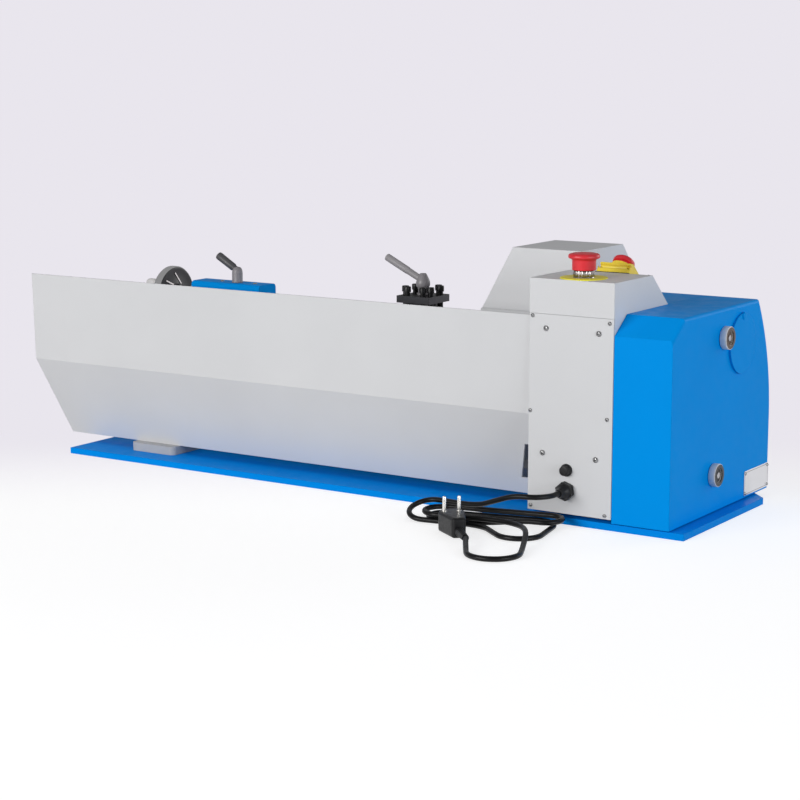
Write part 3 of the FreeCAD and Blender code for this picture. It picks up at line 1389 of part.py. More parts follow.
def make_splash_guard():
    guard = Piece("splash_guard")
    wall = s.sheet_wall
    low = FOOT_TOP
    guard.add("YZ", s.splash_start, s.splash_end, [
        (s.splash_top_y, s.splash_top_z), (s.splash_bend_y, s.splash_bend_z),
        (s.splash_low_y, low), (s.splash_low_y - s.splash_flange, low),
        (s.splash_low_y - s.splash_flange, low + wall), (s.splash_low_y - wall, low + wall),
        (s.splash_bend_y - wall, s.splash_bend_z), (s.splash_top_y - wall, s.splash_top_z),
    ])
    reach = s.splash_low_y - s.splash_flange - s.overrun
    guard.cut("XZ", reach, s.splash_top_y + s.overrun, [
        (s.splash_end, s.splash_bend_z), (s.splash_end + s.overrun, s.splash_bend_z),
        (s.splash_end + s.overrun, low - s.overrun), (s.splash_end_low, low - s.overrun), (s.splash_end_low, low),
    ])
    guard.cut("XZ", s.splash_low_y, s.splash_top_y, [
        (s.splash_start - s.overrun, s.splash_notch_z), (s.splash_start + s.splash_notch, s.splash_notch_z),
        (s.splash_start + s.splash_notch + s.splash_notch_low, s.splash_notch_floor),
        (s.splash_start - s.overrun, s.splash_notch_floor),
    ])
    return guard


# Carriage

def make_saddle():
    saddle = Piece("saddle")
    gap = s.running_gap
    low = WAY + gap
    left = s.carriage_x - s.saddle_length / 2
    right = s.carriage_x + s.saddle_length / 2
    wing = s.saddle_length / 4
    front = -s.saddle_front
    saddle.add("XY", low, s.saddle_top, [
        (left, front), (right, front), (right, -s.vee_offset + s.saddle_wing / 2),
        (right - wing, 0), (right - wing, s.way_inner), (right, s.way_inner), (right, s.saddle_rear),
        (left, s.saddle_rear), (left, s.way_inner), (left + wing, s.way_inner), (left + wing, 0),
        (left, -s.vee_offset + s.saddle_wing / 2),
    ])
    saddle.cut("YZ", left, right, vee_notch(gap))
    top = s.saddle_top + s.dovetail_height
    saddle.add("XZ", front, s.saddle_rear, [
        (s.carriage_x - s.dovetail_base, s.saddle_top), (s.carriage_x + s.dovetail_base, s.saddle_top),
        (s.carriage_x + s.dovetail_top, top), (s.carriage_x - s.dovetail_top, top),
    ])
    screw = Circle(s.carriage_x, s.cross_screw_z, s.wheel_shaft + s.shaft_play)
    saddle.cut("XZ", front, 0, screw)
    return saddle


def make_cross_slide():
    slide = Piece("cross_slide")
    gap = s.running_gap
    low = s.saddle_top + gap
    left = s.carriage_x - s.cross_width / 2
    right = s.carriage_x + s.cross_width / 2
    slide.add("XY", low, s.cross_top, rectangle(left, right, -s.cross_front, s.cross_rear))
    top = s.saddle_top + s.dovetail_height + gap
    slide.cut("XZ", -s.cross_front, s.cross_rear, [
        (s.carriage_x - s.dovetail_base - gap, s.saddle_top), (s.carriage_x + s.dovetail_base + gap, s.saddle_top),
        (s.carriage_x + s.dovetail_top + gap, top), (s.carriage_x - s.dovetail_top - gap, top),
    ])

    def upper_edge(edge):
        return edge_at(edge, "z", s.cross_top)

    slide.soften("Chamfer", s.sheet_wall / 2, upper_edge)
    return slide


def handwheel_profile(low, rim_low, radius, width, hub, shaft, shaft_end):
    """Dished wheel: hub, thin web and rounded rim, with its dial and shaft."""
    rim = width * 0.45
    return [
        (low, 0), (low, hub), (rim_low + width * 0.25, hub * 1.1),
        (rim_low + width * 0.3, radius - width * 0.75), (rim_low, radius - width * 0.55), (rim_low, radius - rim * 0.5),
        (rim_low + width * 0.15, radius), (rim_low + width * 0.85, radius), (rim_low + width, radius - rim * 0.5),
        (rim_low + width, radius - width * 0.55), (rim_low + width * 0.7, radius - width * 0.75),
        (rim_low + width * 0.75, hub * 1.1), (shaft, hub), (shaft, s.wheel_shaft), (shaft_end, s.wheel_shaft),
        (shaft_end, 0),
    ]


def grip_profile(base, end):
    """Turned grip, slimmer at its root and rounded at its end."""
    span = end - base
    return [
        (base, 0), (base, s.grip_radius * 0.6), (base + span * 0.12, s.grip_radius * 0.75),
        (base + span * 0.6, s.grip_radius), (base + span * 0.9, s.grip_radius * 0.85), (end, s.grip_radius * 0.3),
        (end, 0),
    ]


def make_apron():
    apron = Piece("apron")
    top = WAY + s.running_gap
    left = s.carriage_x - s.apron_length / 2
    right = s.carriage_x + s.apron_length / 2
    apron.add("XZ", -s.saddle_front, -s.apron_rear, rectangle(left, right, s.apron_floor, top))

    def lower_corner(edge):
        return edge_runs(edge, ALONG_Y) and edge_at(edge, "z", s.apron_floor)

    apron.soften("Fillet", s.apron_round, lower_corner)
    wheel_x = s.carriage_x + s.carriage_wheel_x
    wheel = Circle(wheel_x, pinion_height(), s.wheel_shaft + s.shaft_play)
    lever = Circle(s.carriage_x + s.lever_x, s.lever_z, s.wheel_shaft + s.shaft_play)
    apron.cut("XZ", -s.saddle_front, -s.apron_rear, wheel)
    apron.cut("XZ", -s.saddle_front, -s.apron_rear - s.sheet_wall, lever)
    bore = Circle(s.leadscrew_y, s.leadscrew_z, s.leadscrew_radius + s.running_gap)
    apron.cut("YZ", left, right, bore)
    return apron


def pinion_height():
    """Height of the pinion axis, where its pitch circle rolls on the pitch line of the rack."""
    return s.rack_floor + s.gear_module - pitch_radius(s.pinion_teeth)


def make_carriage_wheel():
    wheel = Piece("carriage_handwheel")
    x = s.carriage_x + s.carriage_wheel_x
    z = pinion_height()
    face = -s.saddle_front - s.running_gap
    hub = s.carriage_wheel / 3.2
    rim_low = face - s.dial_width - s.wheel_width
    pinion_low = -s.bed_waist / 2 - s.rack_depth + s.running_gap
    pinion_high = -s.bed_waist / 2 - s.running_gap
    wheel.turn("Y", (x, 0, z), handwheel_profile(
        rim_low - s.wheel_width / 4, rim_low, s.carriage_wheel, s.wheel_width, hub, face, pinion_high,
    ))
    grip_root = rim_low + s.wheel_width / 2
    grip = s.carriage_wheel - s.wheel_width * 0.7
    wheel.turn("Y", (x - grip, 0, z), grip_profile(grip_root, rim_low - s.grip_length))
    wheel.add("XZ", pinion_low, pinion_high, Circle(x, z, pitch_radius(s.pinion_teeth) + s.gear_module))
    cut_teeth(wheel, "XZ", (x, z), s.pinion_teeth, pinion_low, pinion_high)
    return wheel


def make_cross_wheel():
    wheel = Piece("cross_handwheel")
    face = -s.saddle_front - s.running_gap
    hub = s.cross_wheel / 2.4
    rim_low = face - s.dial_width
    shaft_end = -s.vee_offset - s.vee_rise - s.running_gap
    wheel.turn("Y", (s.carriage_x, 0, s.cross_screw_z), handwheel_profile(
        rim_low - s.wheel_width / 4, rim_low, s.cross_wheel, s.wheel_width * 0.8, hub, face, shaft_end,
    ))
    grip = s.cross_wheel - s.wheel_width * 0.6
    grip_root = rim_low + s.wheel_width * 0.4
    wheel.turn("Y", (s.carriage_x, 0, s.cross_screw_z + grip), grip_profile(grip_root, rim_low - s.grip_length * 0.9))
    return wheel


def make_half_nut_lever():
    lever = Piece("half_nut_lever")
    x = s.carriage_x + s.lever_x
    face = -s.saddle_front - s.running_gap
    hub = s.lever_hub
    lever.turn("Y", (x, 0, s.lever_z), [
        (face - hub, 0), (face - hub, hub * 0.8), (face - hub * 0.8, hub), (face, hub),
        (face, s.wheel_shaft), (-s.apron_rear - s.sheet_wall * 2, s.wheel_shaft), (-s.apron_rear - s.sheet_wall * 2, 0),
    ])
    middle = face - s.grip_radius - s.running_gap
    lever.add("XZ", middle - hub / 4, middle + hub / 4, [
        (x - s.lever_length, s.lever_z - hub * 0.3), (x, s.lever_z - hub * 0.6),
        (x, s.lever_z + hub * 0.6), (x - s.lever_length, s.lever_z + hub * 0.3),
    ])
    lever.turn("X", (0, middle, s.lever_z), grip_profile(x - s.lever_length * 0.7, x - s.lever_length - hub))
    return lever


def make_compound():
    base = Piece("compound_base")
    gap = s.running_gap
    low = s.cross_top + gap
    top = low + s.swivel_height
    centre = (s.carriage_x, s.post_y, 0)
    base.turn("Z", centre, [(low, 0), (low, s.swivel_radius), (top, s.swivel_radius), (top, 0)])
    middle = s.carriage_x + s.top_slide_shift
    left = middle - s.top_slide_length / 2 + s.dial_width
    right = middle + s.top_slide_length / 2 - s.top_travel
    base.add("YZ", left, right, [
        (s.post_y - s.compound_rail_base, top), (s.post_y + s.compound_rail_base, top),
        (s.post_y + s.compound_rail_top, top + s.compound_rail), (s.post_y - s.compound_rail_top, top + s.compound_rail),
    ])
    return base


def top_slide_floor():
    return s.cross_top + s.swivel_height + s.running_gap * 2


def top_screw_z():
    return top_slide_floor() + s.compound_rail + s.wheel_shaft + s.sheet_wall * 1.5


def make_top_slide():
    slide = Piece("top_slide")
    gap = s.running_gap
    low = top_slide_floor()
    middle = s.carriage_x + s.top_slide_shift
    left = middle - s.top_slide_length / 2
    right = middle + s.top_slide_length / 2
    half = s.top_slide_width / 2
    slide.add("XY", low, s.top_slide_top, rectangle(left, right, s.post_y - half, s.post_y + half))
    rail_top = low - gap + s.compound_rail + gap
    slide.cut("YZ", left, right, [
        (s.post_y - s.compound_rail_base - gap, low - gap), (s.post_y + s.compound_rail_base + gap, low - gap),
        (s.post_y + s.compound_rail_top + gap, rail_top), (s.post_y - s.compound_rail_top - gap, rail_top),
    ])

    def upper_edge(edge):
        return edge_at(edge, "z", s.top_slide_top)

    slide.soften("Chamfer", s.sheet_wall, upper_edge)
    slide.add("XY", s.top_slide_top, s.post_top + s.post_stud * 2, Circle(s.carriage_x, s.post_y, s.post_stud))
    slide.cut("YZ", right - s.dial_width * 2, right, Circle(s.post_y, top_screw_z(), s.wheel_shaft + s.shaft_play))
    return slide


def make_top_wheel():
    wheel = Piece("top_slide_handwheel")
    face = s.carriage_x + s.top_slide_shift + s.top_slide_length / 2 + s.running_gap
    rim_high = face + s.dial_width + s.wheel_width * 0.8
    width = s.wheel_width * 0.8
    hub = s.top_wheel / 2.2
    z = top_screw_z()
    profile = handwheel_profile(
        rim_high + width / 4, rim_high, s.top_wheel, -width, hub, face, face - s.dial_width,
    )
    wheel.turn("X", (0, s.post_y, z), [(along, mirrored(radius, s.top_wheel)) for along, radius in profile])
    grip = s.top_wheel - s.wheel_width * 0.5
    wheel.turn("X", (0, s.post_y - grip, z), grip_profile(rim_high - width * 0.4, rim_high + s.grip_length * 0.7))
    return wheel


def mirrored(radius, rim):
    """A wheel profile made with a negative width has its rim radii above the rim, so they fold back."""
    radius = as_size(radius)
    if radius.value > rim.value:
        return rim * 2 - radius
    return radius


def make_tool_post():
    post = Piece("tool_post")
    half = s.post_side / 2
    gap = s.running_gap
    low = s.top_slide_top + gap
    post.add("XY", low, s.post_top, rectangle(
        s.carriage_x - half, s.carriage_x + half, s.post_y - half, s.post_y + half,
    ))
    core = half - s.post_slot_depth
    for side in (-1, 1):
        edge = s.carriage_x + (half + s.overrun) * side
        wall = s.carriage_x + core * side
        near, far = (edge, wall) if side < 0 else (wall, edge)
        post.cut("XZ", s.post_y - half, s.post_y + half, rectangle(near, far, s.post_slot_floor, s.post_slot_top))
        edge = s.post_y + (half + s.overrun) * side
        wall = s.post_y + core * side
        near, far = (edge, wall) if side < 0 else (wall, edge)
        post.cut("YZ", s.carriage_x - half, s.carriage_x + half, rectangle(near, far, s.post_slot_floor, s.post_slot_top))
    post.cut("XY", low, s.post_top, Circle(s.carriage_x, s.post_y, s.post_stud + s.shaft_play))
    holes = [Circle(s.carriage_x + x, s.post_y + y, s.screw_radius) for x, y in screw_places()]
    post.cut("XY", s.post_slot_top, s.post_top, *holes)
    return post


def screw_places():
    places = []
    for side in (-1, 1):
        for along in (-1, 1):
            places.append((s.screw_near * along, s.screw_far * side))
            places.append((s.screw_far * side, s.screw_near * along))
    return places


def make_tool_screws():
    """Eight equal clamping screws with socket heads."""
    screws = []
    head_low = s.post_top + s.screw_neck
    top = head_low + s.screw_head_height
    for x, y in screw_places():
        origin = (s.carriage_x + x, s.post_y + y)
        shank = rod("Z", (*origin, s.post_top - s.screw_grip), s.screw_radius, s.screw_grip + s.screw_neck)
        head = rod("Z", (*origin, head_low), s.screw_head, s.screw_head_height)
        socket = rod("Z", (*origin, top - s.screw_head_height * 0.6), s.screw_head * 0.5, s.screw_head_height)
        screws.append(boolean("Part::Cut", boolean("Part::Fuse", shank, head), socket))
    return group("tool_screws", screws)


def make_tool_post_lever():
    """Clamp hub on the stud, with a slanting lever."""
    lever = Piece("tool_post_lever")
    low = s.post_top + s.running_gap
    high = low + s.post_hub_height
    bore = s.post_stud + s.shaft_play
    well = s.post_top + s.post_stud * 2 + s.running_gap
    lever.turn("Z", (s.carriage_x, s.post_y, 0), [
        (low, bore), (low, s.post_hub), (low + s.post_hub_neck * 0.3, s.post_hub),
        (low + s.post_hub_neck * 0.6, s.post_hub_neck), (low + s.post_hub_neck, s.post_hub_neck),
        (low + s.post_hub_neck * 1.5, s.post_hub), (high - s.post_hub, s.post_hub * 0.8),
        (high, s.post_hub * 0.45), (high, 0), (well, 0), (well, bore),
    ])
    doc.recompute()
    start = Vector(s.carriage_x.value, s.post_y.value, high.value - s.post_hub.value)
    reach = Vector(s.post_lever_reach.value, 0, s.post_lever_rise.value)
    arm = lever_arm(start, reach, s.post_lever_radius.value)
    joined = doc.addObject("Part::Feature", "lever_arm")
    joined.Shape = arm
    return finish_lever(lever, joined, "tool_post_lever")


def lever_arm(start, reach, radius):
    """Round rod with a thicker knurled end and a rounded tip, along reach from start."""
    length = reach.Length
    direction = Vector(reach).normalize()
    profile = [
        Vector(0, 0, 0), Vector(radius, 0, 0), Vector(radius, 0, length * 0.45),
        Vector(radius * 1.2, 0, length * 0.5), Vector(radius * 1.2, 0, length - radius),
        Vector(radius * 0.7, 0, length), Vector(0, 0, length), Vector(0, 0, 0),
    ]
    solid = Part.Face(Part.makePolygon(profile)).revolve(Vector(), ALONG_Z, 360)
    solid.Placement = FreeCAD.Placement(start, FreeCAD.Rotation(ALONG_Z, direction))
    return solid


def finish_lever(hub, arm, label):
    """Joins a turned hub and its slanting arm as one piece."""
    pieces.remove(hub.body)
    hub.body.Label = f"{label}_hub"
    joined = boolean("Part::Fuse", hub.body, arm)
    joined.Label = label
    pieces.append(joined)
    return joined


# Tailstock

def make_tailstock():
    tail = Piece("tailstock_body")
    gap = s.running_gap
    base_start = s.tail_start + s.tail_step
    base_end = s.tail_end - s.tail_step
    low = WAY + gap
    half_base = s.tail_base_width / 2
    top = AXIS + s.tail_rise
    tail.add("YZ", base_start, base_end, rectangle(-half_base, half_base, low, s.tail_base_top))
    tail.cut("YZ", base_start, base_end, vee_notch(gap))
    tail.add("YZ", base_start + s.tail_round, base_end - s.tail_round, [
        (-s.tail_waist, s.tail_base_top), (s.tail_waist, s.tail_base_top),
        (s.tail_half, s.tail_neck_z), (-s.tail_half, s.tail_neck_z),
    ])
    tail.add("YZ", s.tail_start, s.tail_end, rectangle(-s.tail_half, s.tail_half, s.tail_neck_z, top))

    def barrel_edge(edge):
        box = edge.BoundBox
        return edge_runs(edge, ALONG_X) and box.XLength > s.tail_end.value - s.tail_start.value - 1

    tail.soften("Fillet", s.tail_round, barrel_edge)
    tail.cut("YZ", s.tail_start, s.tail_end, Circle(0, AXIS, s.quill_radius + s.shaft_play))
    post = Circle(s.lock_x, s.lock_y, s.lock_radius * 0.7 + s.shaft_play)
    tail.cut("XY", top - s.lock_radius, top, post)
    return tail


def make_quill():
    quill = Piece("quill")
    step = s.quill_start + s.centre_shank + s.running_gap
    quill.turn("X", (0, 0, AXIS), [
        (s.quill_start, s.centre_radius), (s.quill_start, s.quill_radius), (s.quill_end, s.quill_radius),
        (s.quill_end, s.quill_thread), (step, s.quill_thread), (step, s.centre_radius * 0.85),
    ])
    return quill


def make_dead_centre():
    centre = Piece("dead_centre")
    front = s.quill_start - s.running_gap
    shank_end = s.quill_start + s.centre_shank
    cone = s.centre_body * math.sqrt(3)
    centre.turn("X", (0, 0, AXIS), [
        (s.quill_start - s.centre_length, 0), (s.quill_start - s.centre_length + cone, s.centre_body),
        (front, s.centre_body), (front, s.centre_radius), (s.quill_start, s.centre_radius),
        (shank_end, s.centre_radius * 0.85), (shank_end, 0),
    ])
    return centre


def make_tail_wheel():
    wheel = Piece("tailstock_handwheel")
    face = s.tail_end + s.running_gap
    hub = s.tail_wheel / 3
    rim_high = s.tail_wheel_x + s.wheel_width / 2
    width = s.wheel_width
    profile = handwheel_profile(
        rim_high + width / 4, rim_high, s.tail_wheel, -width, hub, face, s.quill_end - s.centre_shank,
    )
    wheel.turn("X", (0, 0, AXIS), [(along, mirrored(radius, s.tail_wheel)) for along, radius in profile])
    wheel.turn("X", (0, 0, AXIS), [
        (face, 0), (face, s.dial_radius), (face + s.dial_width, s.dial_radius), (face + s.dial_width, 0),
    ])
    grip = s.tail_wheel - s.wheel_width * 0.7
    angle = math.radians(35)
    root = rim_high - width / 2
    wheel.turn("X", (0, grip * math.cos(angle), AXIS + grip * math.sin(angle)), grip_profile(root, rim_high + s.tail_wheel_grip_x))
    return wheel


def make_lock_lever():
    hub = Piece("quill_lock_lever")
    low = AXIS + s.tail_rise + s.running_gap
    high = low + s.lock_height
    shank = s.lock_radius * 0.7
    hub.turn("Z", (s.lock_x, s.lock_y, 0), [
        (low - s.lock_radius, 0), (low - s.lock_radius, shank), (low, shank), (low, s.lock_radius),
        (low + s.lock_height * 0.3, s.lock_radius), (low + s.lock_height * 0.4, s.lock_radius * 0.85),
        (high, s.lock_radius * 0.9), (high, 0),
    ])
    doc.recompute()
    arm = doc.addObject("Part::Feature", "lock_arm")
    start = Vector(s.lock_x.value, s.lock_y.value, high.value - s.lock_radius.value)
    reach = Vector(s.lock_reach.value, 0, s.lock_rise.value)
    arm.Shape = lever_arm(start, reach, s.lock_radius.value * 0.75)
    return finish_lever(hub, arm, "quill_lock_lever")


# Mains cord: places in the frame of the hank, u along it, v toward the rear, z above the bench.

CORD_FLOOR = 3.6
HANK_TOP = 21.5
LEAD_TURN = (-55.5, -1.97, 30.0, 168.5, 86.0, 3)
LEAD_POINTS = [(-32.0, 24.8, 42.6), (-14.0, 17.0, 35.5), (20.0, 0.0, HANK_TOP), (48.8, -8.1, HANK_TOP)]
DESCENT_TURN = (87.05, 4.0, 22.0, -105.7, 90.0, 6)
LOOSE_POINT = (4.0, 26.0, CORD_FLOOR)
LOOSE_TURNS = [(-53.5, 49.0, 29.5, 42.5, 180.0, 4), (-53.5, 3.5, 29.5, 180.0, 270.0, 3)]
CLIMB = (10.0, -50.0)
PLUG_CORD_POINTS = [(-12.0, 26.0, 11.5), (-38.0, 34.0, 12.0), (-60.0, 52.0, 12.6), (-73.0, 80.0, 12.6), (-80.0, 112.0, 6.0)]
PLUG_CORD_TURN = (-55.5, 153.0, 32.5, 191.6, 22.3, 4)
HANK_END = 6.0
FOLD_CORNERS = 6
PLUG_PLACE = (-8.0, 119.0)
PLUG_TURN_DEGREES = -57.0
TURN_SHARE = 0.5


def hank_point(u, v, z):
    """A point in the hank's own frame, in lathe coordinates."""
    turn = math.radians(s.hank_turn.value)
    x = s.hank_x.value + u * math.cos(turn) - v * math.sin(turn)
    y = s.hank_y.value + u * math.sin(turn) + v * math.cos(turn)
    return Vector(x, y, z)


def round_turn(u, v, radius, first, last, corners, high, low):
    """Corners of an arc round (u, v) between two angles, with a point on the straight run at each end."""
    share = math.radians(last - first) / corners
    side = math.copysign(1, share)
    lead = radius * math.tan(abs(share) / 2)
    places = []
    for step in range(corners):
        angle = math.radians(first) + share * (step + 0.5)
        reach = radius / math.cos(share / 2)
        height = (high + low) / 2 + (high - low) / 2 * math.cos(math.pi * (step + 1) / (corners + 1))
        places.append((u + reach * math.cos(angle), v + reach * math.sin(angle), height))
    ends = []
    for angle, sign, height in ((math.radians(first), -side, high), (math.radians(last), side, low)):
        across = u + radius * math.cos(angle) - sign * lead * math.sin(angle)
        ends.append((across, v + radius * math.sin(angle) + sign * lead * math.cos(angle), height))
    return [ends[0], *places, ends[1]]


def hank_route():
    """Corners of the hank: a loose turn on the bench, then folded turns on the bench and upon it."""
    low = CORD_FLOOR
    high = low + s.hank_pitch.value
    outer = s.hank_outer.value
    inner = outer - s.hank_pitch.value
    fold = (outer + inner) / 2
    middle = (inner - outer) / 2
    fore = s.hank_fore.value
    aft = s.hank_aft.value
    points = [LEAD_POINTS[-1], *round_turn(*DESCENT_TURN, HANK_TOP, low), LOOSE_POINT]
    for turn in LOOSE_TURNS:
        points += round_turn(*turn, low, low)
    points += round_turn(fore, middle, fold, -90, 90, FOLD_CORNERS, low, low)
    points += [(CLIMB[0], inner, low), (CLIMB[1], inner, high)]
    points += round_turn(-aft, middle, fold, 90, 270, FOLD_CORNERS, high, high)
    points += round_turn(fore, 0, outer, -90, 90, FOLD_CORNERS, high, high)
    points.append((HANK_END, outer, high))
    return points


def rounded_wire(points):
    """Straight runs joined by tangent arcs, each as large as its two runs allow."""
    edges = []
    radii = []
    start = points[0]
    for place in range(1, len(points) - 1):
        corner = points[place]
        before = corner - points[place - 1]
        after = points[place + 1] - corner
        turn = before.getAngle(after)
        if turn < s.shaft_play.value / before.Length:
            continue
        reach = TURN_SHARE * min(before.Length, after.Length)
        radius = reach / math.tan(turn / 2)
        into = corner - Vector(before).normalize() * reach
        out = corner + Vector(after).normalize() * reach
        bisector = (Vector(after).normalize() - Vector(before).normalize()).normalize()
        middle = corner + bisector * (math.hypot(radius, reach) - radius)
        if start.distanceToPoint(into) > s.shaft_play.value:
            edges.append(Part.LineSegment(start, into).toShape())
        else:
            into = start
        edges.append(Part.Arc(into, middle, out).toShape())
        radii.append(radius)
        start = out
    edges.append(Part.LineSegment(start, points[-1]).toShape())
    return Part.Wire(edges), radii


def make_cord(label, points):
    wire, radii = rounded_wire(points)
    radius = s.cord_radius.value
    start = points[1] - points[0]
    ring = Part.Wire(Part.Circle(points[0], start, radius).toShape())
    tube = wire.makePipeShell([ring], True, False)
    feature = doc.addObject("Part::Feature", label)
    feature.Shape = tube
    feature.Label = label
    pieces.append(feature)
    share = tube.Volume / (math.pi * radius**2 * wire.Length)
    print(f"{label}: length {wire.Length:.0f}, smallest radius {min(radii):.1f}, volume share {share:.4f}")
    return wire


def strand_gap(wire, radius):
    """Least gap between two parts of one tube that are well apart along it."""
    count = int(wire.Length / radius)
    points = wire.discretize(Number=count)
    least = wire.Length
    for first in range(count):
        for second in range(first + 8, count):
            least = min(least, points[first].distanceToPoint(points[second]))
    return least - 2 * radius


def make_cords():
    gland_end = s.box_rear + s.gland_nut + s.gland_cone
    power = [Vector(s.gland_x.value, gland_end.value, s.gland_z.value)]
    lead_z = s.gland_z.value
    power += [hank_point(*point) for point in [*round_turn(*LEAD_TURN, lead_z, lead_z), *LEAD_POINTS]]
    route = hank_route()
    hank = [hank_point(*point) for point in route]
    plug = [hank_point(*point) for point in [route[-1], *PLUG_CORD_POINTS]]
    plug += [hank_point(*point) for point in round_turn(*PLUG_CORD_TURN, CORD_FLOOR, CORD_FLOOR)]
    plug.append(hank_point(*PLUG_PLACE, s.plug_sleeve_z.value))
    make_cord("power_cord", power)
    wire = make_cord("cord_hank", hank)
    print(f"cord_hank: least gap to itself {strand_gap(wire, s.cord_radius.value):.2f}")
    make_cord("plug_cord", plug)


def make_plug():
    """Two-pin plug that lies on its back, with its pins up."""
    plug = Piece("plug")
    half = s.plug_width / 2
    tail = s.plug_tail_width / 2
    low = s.overrun * 0.1
    high = s.plug_height
    body = s.plug_sleeve + s.plug_length
    plug.add("XY", low, high, [
        (s.plug_sleeve, -tail), (body - half * 0.8, -half), (body, -half * 0.6),
        (body, half * 0.6), (body - half * 0.8, half), (s.plug_sleeve, tail),
    ])
    plug.turn("X", (0, 0, s.plug_sleeve_z), [
        (0, 0), (0, s.cord_radius * 1.3), (s.plug_sleeve, s.plug_sleeve_radius), (s.plug_sleeve + tail, s.plug_sleeve_radius),
        (s.plug_sleeve + tail, 0),
    ])
    pins = [Circle(body - half * 0.9, s.pin_spacing / 2 * side, s.pin_radius) for side in (-1, 1)]
    plug.add("XY", high, high + s.pin_length, *pins)
    turn = FreeCAD.Rotation(ALONG_Z, s.hank_turn.value + PLUG_TURN_DEGREES)
    plug.body.Placement = FreeCAD.Placement(hank_point(*PLUG_PLACE, 0), turn)
    return plug


make_tray()
make_bed()
make_rack()
make_headstock()
make_spindle_bearings()
make_spindle()
make_control_box()
make_rear_cover()
make_gland()
make_fuse_holder()
make_stop()
make_switch()
make_front_controls()
make_gear_cover()
make_cover_knob("cover_knob_upper", s.stud_upper_y, s.stud_upper_z)
make_cover_knob("cover_knob_lower", s.stud_lower_y, s.stud_lower_z)
make_bore_cover()
make_gear_plate()
gear_centres = make_change_gears()
make_quadrant(gear_centres)
make_motor()
make_belt()
make_leadscrew()
make_leadscrew_brackets()
make_chuck()
make_jaws()
make_chuck_guard()
make_splash_guard()
make_saddle()
make_cross_slide()
make_apron()
make_carriage_wheel()
make_cross_wheel()
make_half_nut_lever()
make_compound()
make_top_slide()
make_top_wheel()
make_tool_post()
make_tool_screws()
make_tool_post_lever()
make_tailstock()
make_quill()
make_dead_centre()
make_tail_wheel()
make_lock_lever()
make_cords()
make_plug()

doc.recompute()

# Every object is sound before anything is written.
problems = []
for feature in doc.Objects:
    if any(word in ("Invalid", "Error") for word in feature.State):
        problems.append(f"{feature.Name} of {feature.Label}: {feature.State}")
for piece in pieces:
    if piece.Shape.isNull() or not piece.Shape.isValid():
        problems.append(f"{piece.Label}: shape is null or not valid")
for cut in cuts:
    if not cut.Shape.isNull() and cut.BaseFeature and cut.Shape.Volume > cut.BaseFeature.Shape.Volume - 1e-3:
        problems.append(f"{cut.Name} in {cut.getParentGeoFeatureGroup().Label} removes nothing")
if problems:
    raise SystemExit("\n".join(problems))

os.makedirs("parts", exist_ok=True)
for piece in pieces:
    piece.Shape.exportStep(f"parts/{piece.Label}.step")
print(f"{len(pieces)} pieces written")
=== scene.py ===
"""Looks of a bench metal lathe, seen from behind: finishes, small fittings, cord, floor, light and camera."""
import math

import bmesh
import bpy
from mathutils import Matrix, Vector


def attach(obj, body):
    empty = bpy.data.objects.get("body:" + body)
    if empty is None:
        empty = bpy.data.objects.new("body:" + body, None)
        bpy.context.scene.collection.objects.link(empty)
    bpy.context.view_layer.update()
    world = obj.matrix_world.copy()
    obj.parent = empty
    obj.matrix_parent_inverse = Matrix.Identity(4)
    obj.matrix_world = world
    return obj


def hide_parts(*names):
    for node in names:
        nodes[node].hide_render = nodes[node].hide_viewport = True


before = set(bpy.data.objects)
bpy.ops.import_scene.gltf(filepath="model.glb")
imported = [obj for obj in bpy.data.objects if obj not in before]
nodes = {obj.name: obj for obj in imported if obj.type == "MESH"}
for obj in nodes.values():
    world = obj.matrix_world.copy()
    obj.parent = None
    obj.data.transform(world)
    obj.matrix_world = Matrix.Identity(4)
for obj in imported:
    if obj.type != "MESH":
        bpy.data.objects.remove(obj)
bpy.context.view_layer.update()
MM = 0.001


# Building a procedural material

